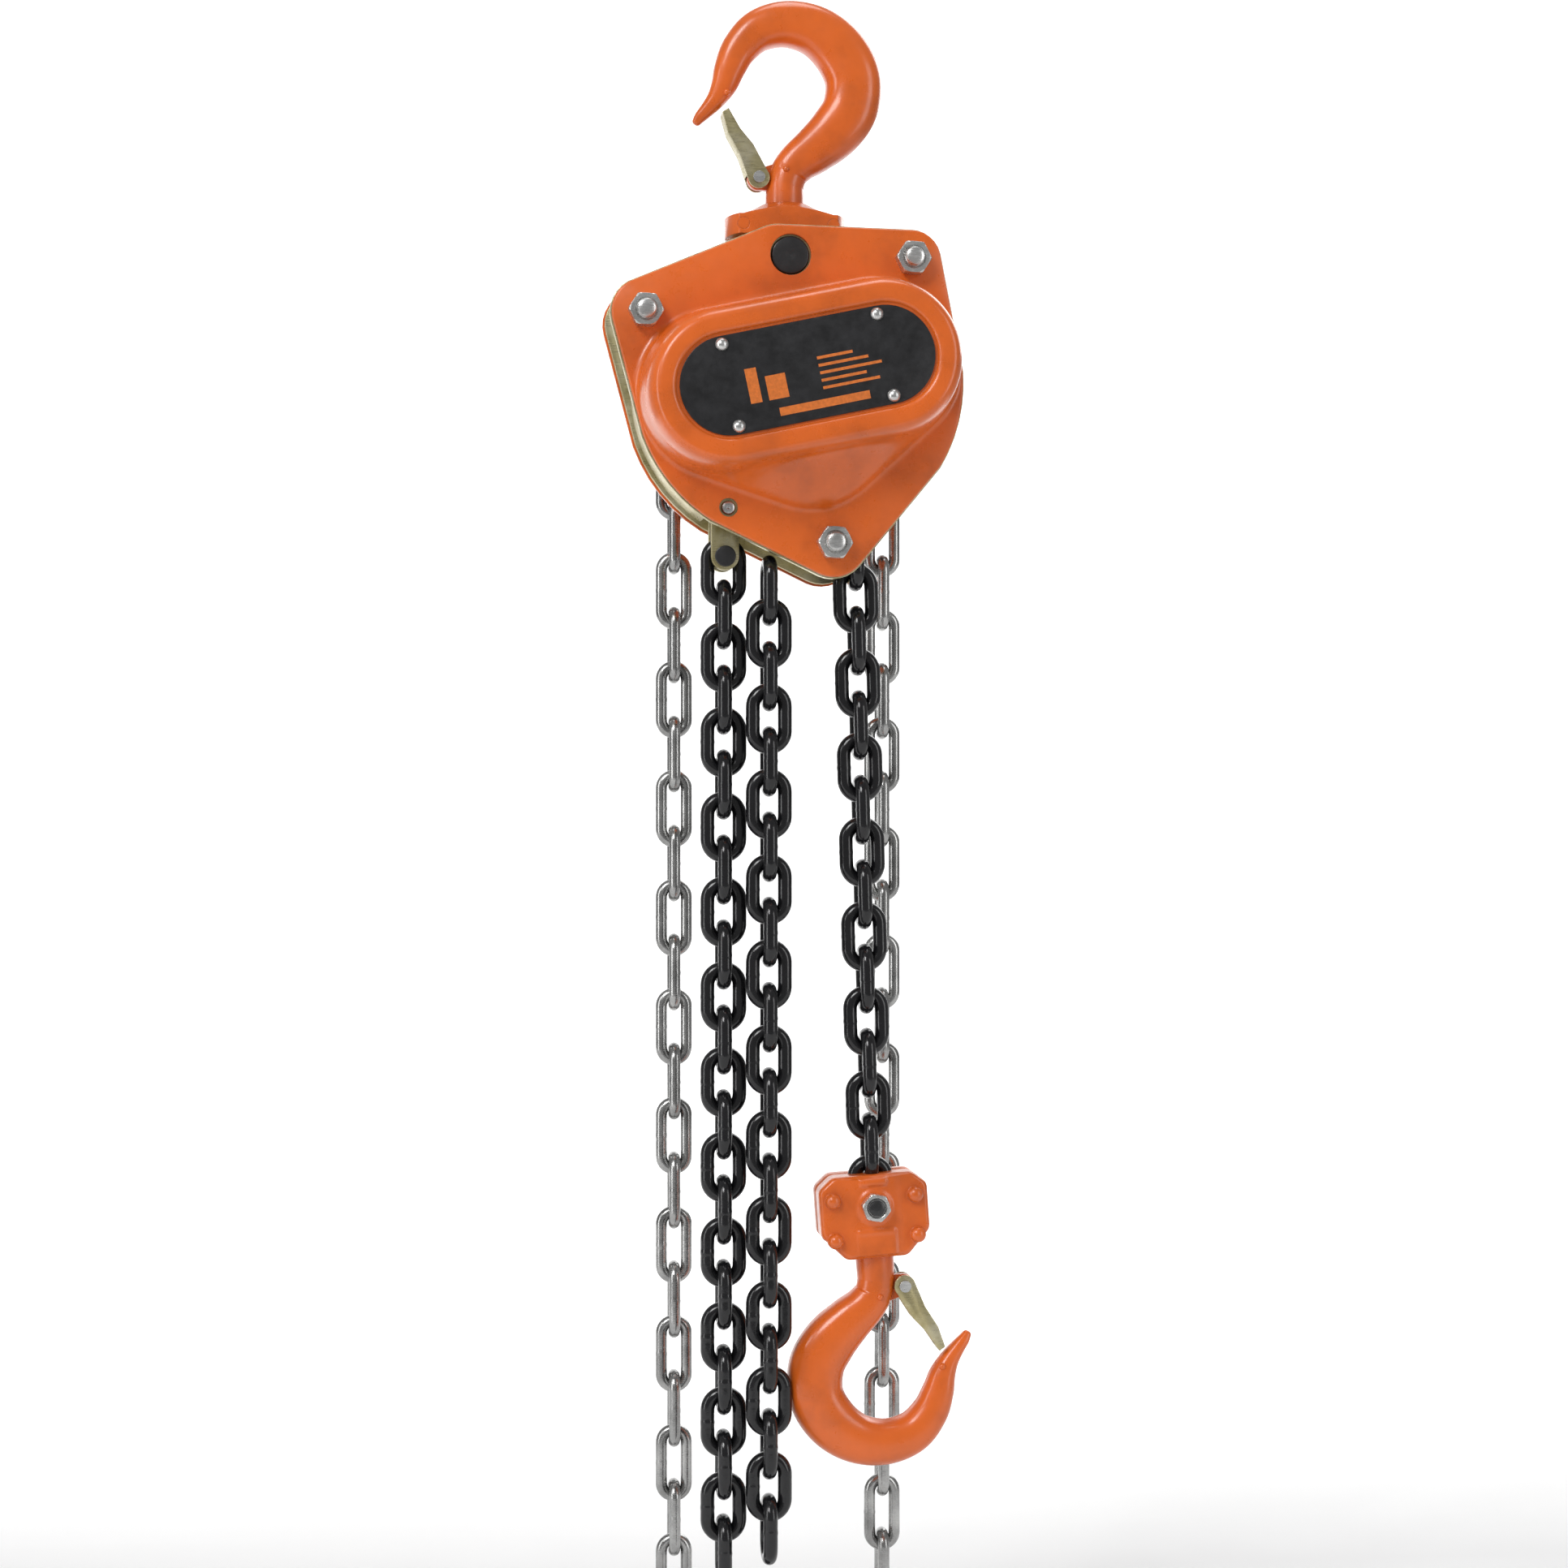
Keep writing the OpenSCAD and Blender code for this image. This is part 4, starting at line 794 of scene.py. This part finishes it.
def block_relief(x, z):
    """How far the forged face stands out at a point, from 0 on the rim land to 1 on the swells."""
    def soft(d, w):
        return 1 / (1 + math.exp(d / w))
    barrel = soft(abs(x) - 8.8, 0.45) * soft(z + 9.2, 0.45)
    band = soft(abs(x) - 7.8, 0.4) * soft(abs(z + 10.2) - 1.3, 0.4)
    neck = soft(abs(x) - 6.2, 0.5) * soft(abs(z - 10.2) - 1.9, 0.45)
    spine = soft(abs(x) - 10.5, 0.9)
    return min(1.0, max(0.8 * barrel + 0.2 * band, neck, 0.45 * spine))


def block_half(name, node, side):
    n = 220
    angles = [2 * math.pi * k / n for k in range(n)]
    edge = polar(rounded(BLOCK_OUTLINE, 4.5), angles)
    build, verts = Build(), []
    rings = [(edge - 0.35, 0.15), (edge, 0.5), (edge, 8.6),
             (edge - 0.15, 9.7), (edge - 0.6, 10.6), (edge - 1.2, 11.1)]
    for r, y in rings:
        verts += [(r[k] * math.cos(a), y, r[k] * math.sin(a)) for k, a in enumerate(angles)]
    steps = 34
    for i in range(steps):
        t = 1 - (i + 0.5) / steps
        for k, a in enumerate(angles):
            x, z = (edge[k] - 1.5) * t * math.cos(a), (edge[k] - 1.5) * t * math.sin(a)
            y = 11.3 + 1.6 * block_relief(x, z)
            hub = math.hypot(x, z)
            verts.append((x, 12.95 - 0.9 * min(1.0, max(0.0, (hub - 6.4) / 1.6)) if hub < 8.0 else y, z))
    build.add([(x * MM, side * y * MM, z * MM) for x, y, z in verts], grid_faces(len(rings) + steps, n))
    for x, z in BLOCK_RIVETS:
        profile = [(RIVET_R * math.cos(math.radians(a)), side * (11.2 + 1.75 * math.sin(math.radians(a))))
                   for a in range(0, 86, 9)]
        build.lathe([(RIVET_R * MM, side * 9.0 * MM)] + [(r * MM, y * MM) for r, y in profile], (x * MM, z * MM), 40)
    piece(name, build.verts, build.faces, [node], matrix=BLOCK, sharp=60)


block_half("block_front_forging", "block_front_half", -1)
block_half("block_rear_forging", "block_rear_half", 1)

# ---------------------------------------------------------------- CAD nodes that stay

# Edge radius in millimetres
EDGE_RADII = {
    "yoke_front_half": 1.6, "yoke_rear_half": 1.6, "gear_side_plate": 0.4, "wheel_side_plate": 0.4,
    "side_shroud_left": 0.4, "side_shroud_right": 0.4, "wheel_cover": 0.8, "top_latch": 0.35,
    "bottom_latch": 0.35, "anchor_shackle": 0.4, "anchor_pin": 0.4, "rating_plate": 0.25,
    "castle_nut": 0.5, "guide_rollers": 0.4,
}
for node, width in EDGE_RADII.items():
    soften(node, width)

for name, obj in NODES.items():
    if not obj.hide_render:
        shade(obj.data)
        dress(obj, SLOT_OF[name])

# ---------------------------------------------------------------- stage, light and camera


def backdrop():
    """A pale floor that curves up into the wall behind."""
    floor, wall, bend, top, half = -0.745, 3.2, 1.2, 2.6, 1.7
    line = [(-0.9, floor), (wall - bend, floor)]
    line += [(wall - bend + bend * math.sin(a), floor + bend * (1 - math.cos(a)))
             for a in np.linspace(0, math.pi / 2, 24)[1:]]
    line += [(wall, top)]
    mesh = bpy.data.meshes.new("backdrop")
    verts = [(x, y, z) for y, z in line for x in (-half, half)]
    faces = [(2 * i, 2 * i + 1, 2 * i + 3, 2 * i + 2) for i in range(len(line) - 1)]
    mesh.from_pydata(verts, [], faces)
    mesh.shade_smooth()
    obj = bpy.data.objects.new("backdrop", mesh)
    bpy.context.scene.collection.objects.link(obj)
    m = Shader("pale_floor")
    m.set("Base Color", m.ramp(m.noise(3, 3, 0.5), (0.3, (0.86, 0.86, 0.86)), (0.7, (0.90, 0.90, 0.90))))
    m.set("Roughness", m.grey(m.noise(20, 3, 0.5), 0.75, 0.9))
    m.set("Emission Color", (1.0, 1.0, 1.0))
    sep = m.node("ShaderNodeSeparateXYZ")
    m.feed(sep.inputs["Vector"], m.coords)
    far = m.maths("MULTIPLY", m.maths("SUBTRACT", sep.outputs["Y"], 0.35), 1.2, clamp=True)
    m.set("Emission Strength", m.maths("MULTIPLY", far, 0.85))
    m.bump(m.noise(300, 2, 0.5), 0.0001, 0.2)
    obj.data.materials.append(m.mat)


def area_light(name, where, aim, size, power, colour=(1, 1, 1)):
    data = bpy.data.lights.new(name, "AREA")
    data.shape, data.size, data.size_y = "RECTANGLE", size[0], size[1]
    data.energy, data.color = power, colour
    obj = bpy.data.objects.new(name, data)
    bpy.context.scene.collection.objects.link(obj)
    obj.location = where
    obj.rotation_mode = "QUATERNION"
    obj.rotation_quaternion = (Vector(aim) - Vector(where)).to_track_quat("-Z", "Y")


backdrop()
area_light("key", (-1.3, -1.7, 1.3), (0, 0, -0.2), (0.9, 0.9), 30)
area_light("fill", (1.7, -1.5, 0.1), (0, 0, -0.3), (0.7, 1.8), 11)
area_light("strip", (-1.5, -0.6, -0.3), (0, 0, -0.35), (0.35, 1.8), 9)
area_light("top", (0.1, 0.1, 1.6), (0, 0, -0.2), (1.0, 1.0), 11)
area_light("rim", (1.1, 1.3, 0.7), (0, 0, -0.3), (0.8, 1.2), 9)

world = bpy.data.worlds.new("studio")
bpy.context.scene.world = world
world.use_nodes = True
world.node_tree.nodes["Background"].inputs["Color"].default_value = (1, 1, 1, 1)
world.node_tree.nodes["Background"].inputs["Strength"].default_value = 0.28
bpy.context.scene.view_settings.view_transform = "Standard"

camera_data = bpy.data.cameras.new("camera")
camera_data.lens, camera_data.sensor_width = 67.55, 36
camera_data.clip_start, camera_data.clip_end = 0.01, 50
camera = bpy.data.objects.new("camera", camera_data)
bpy.context.scene.collection.objects.link(camera)
camera.location = (-0.1526, -1.2406, -0.313)
camera.rotation_mode = "QUATERNION"
camera.rotation_quaternion = Vector((0.1219, 0.9925, 0)).to_track_quat("-Z", "Y")
bpy.context.scene.camera = camera
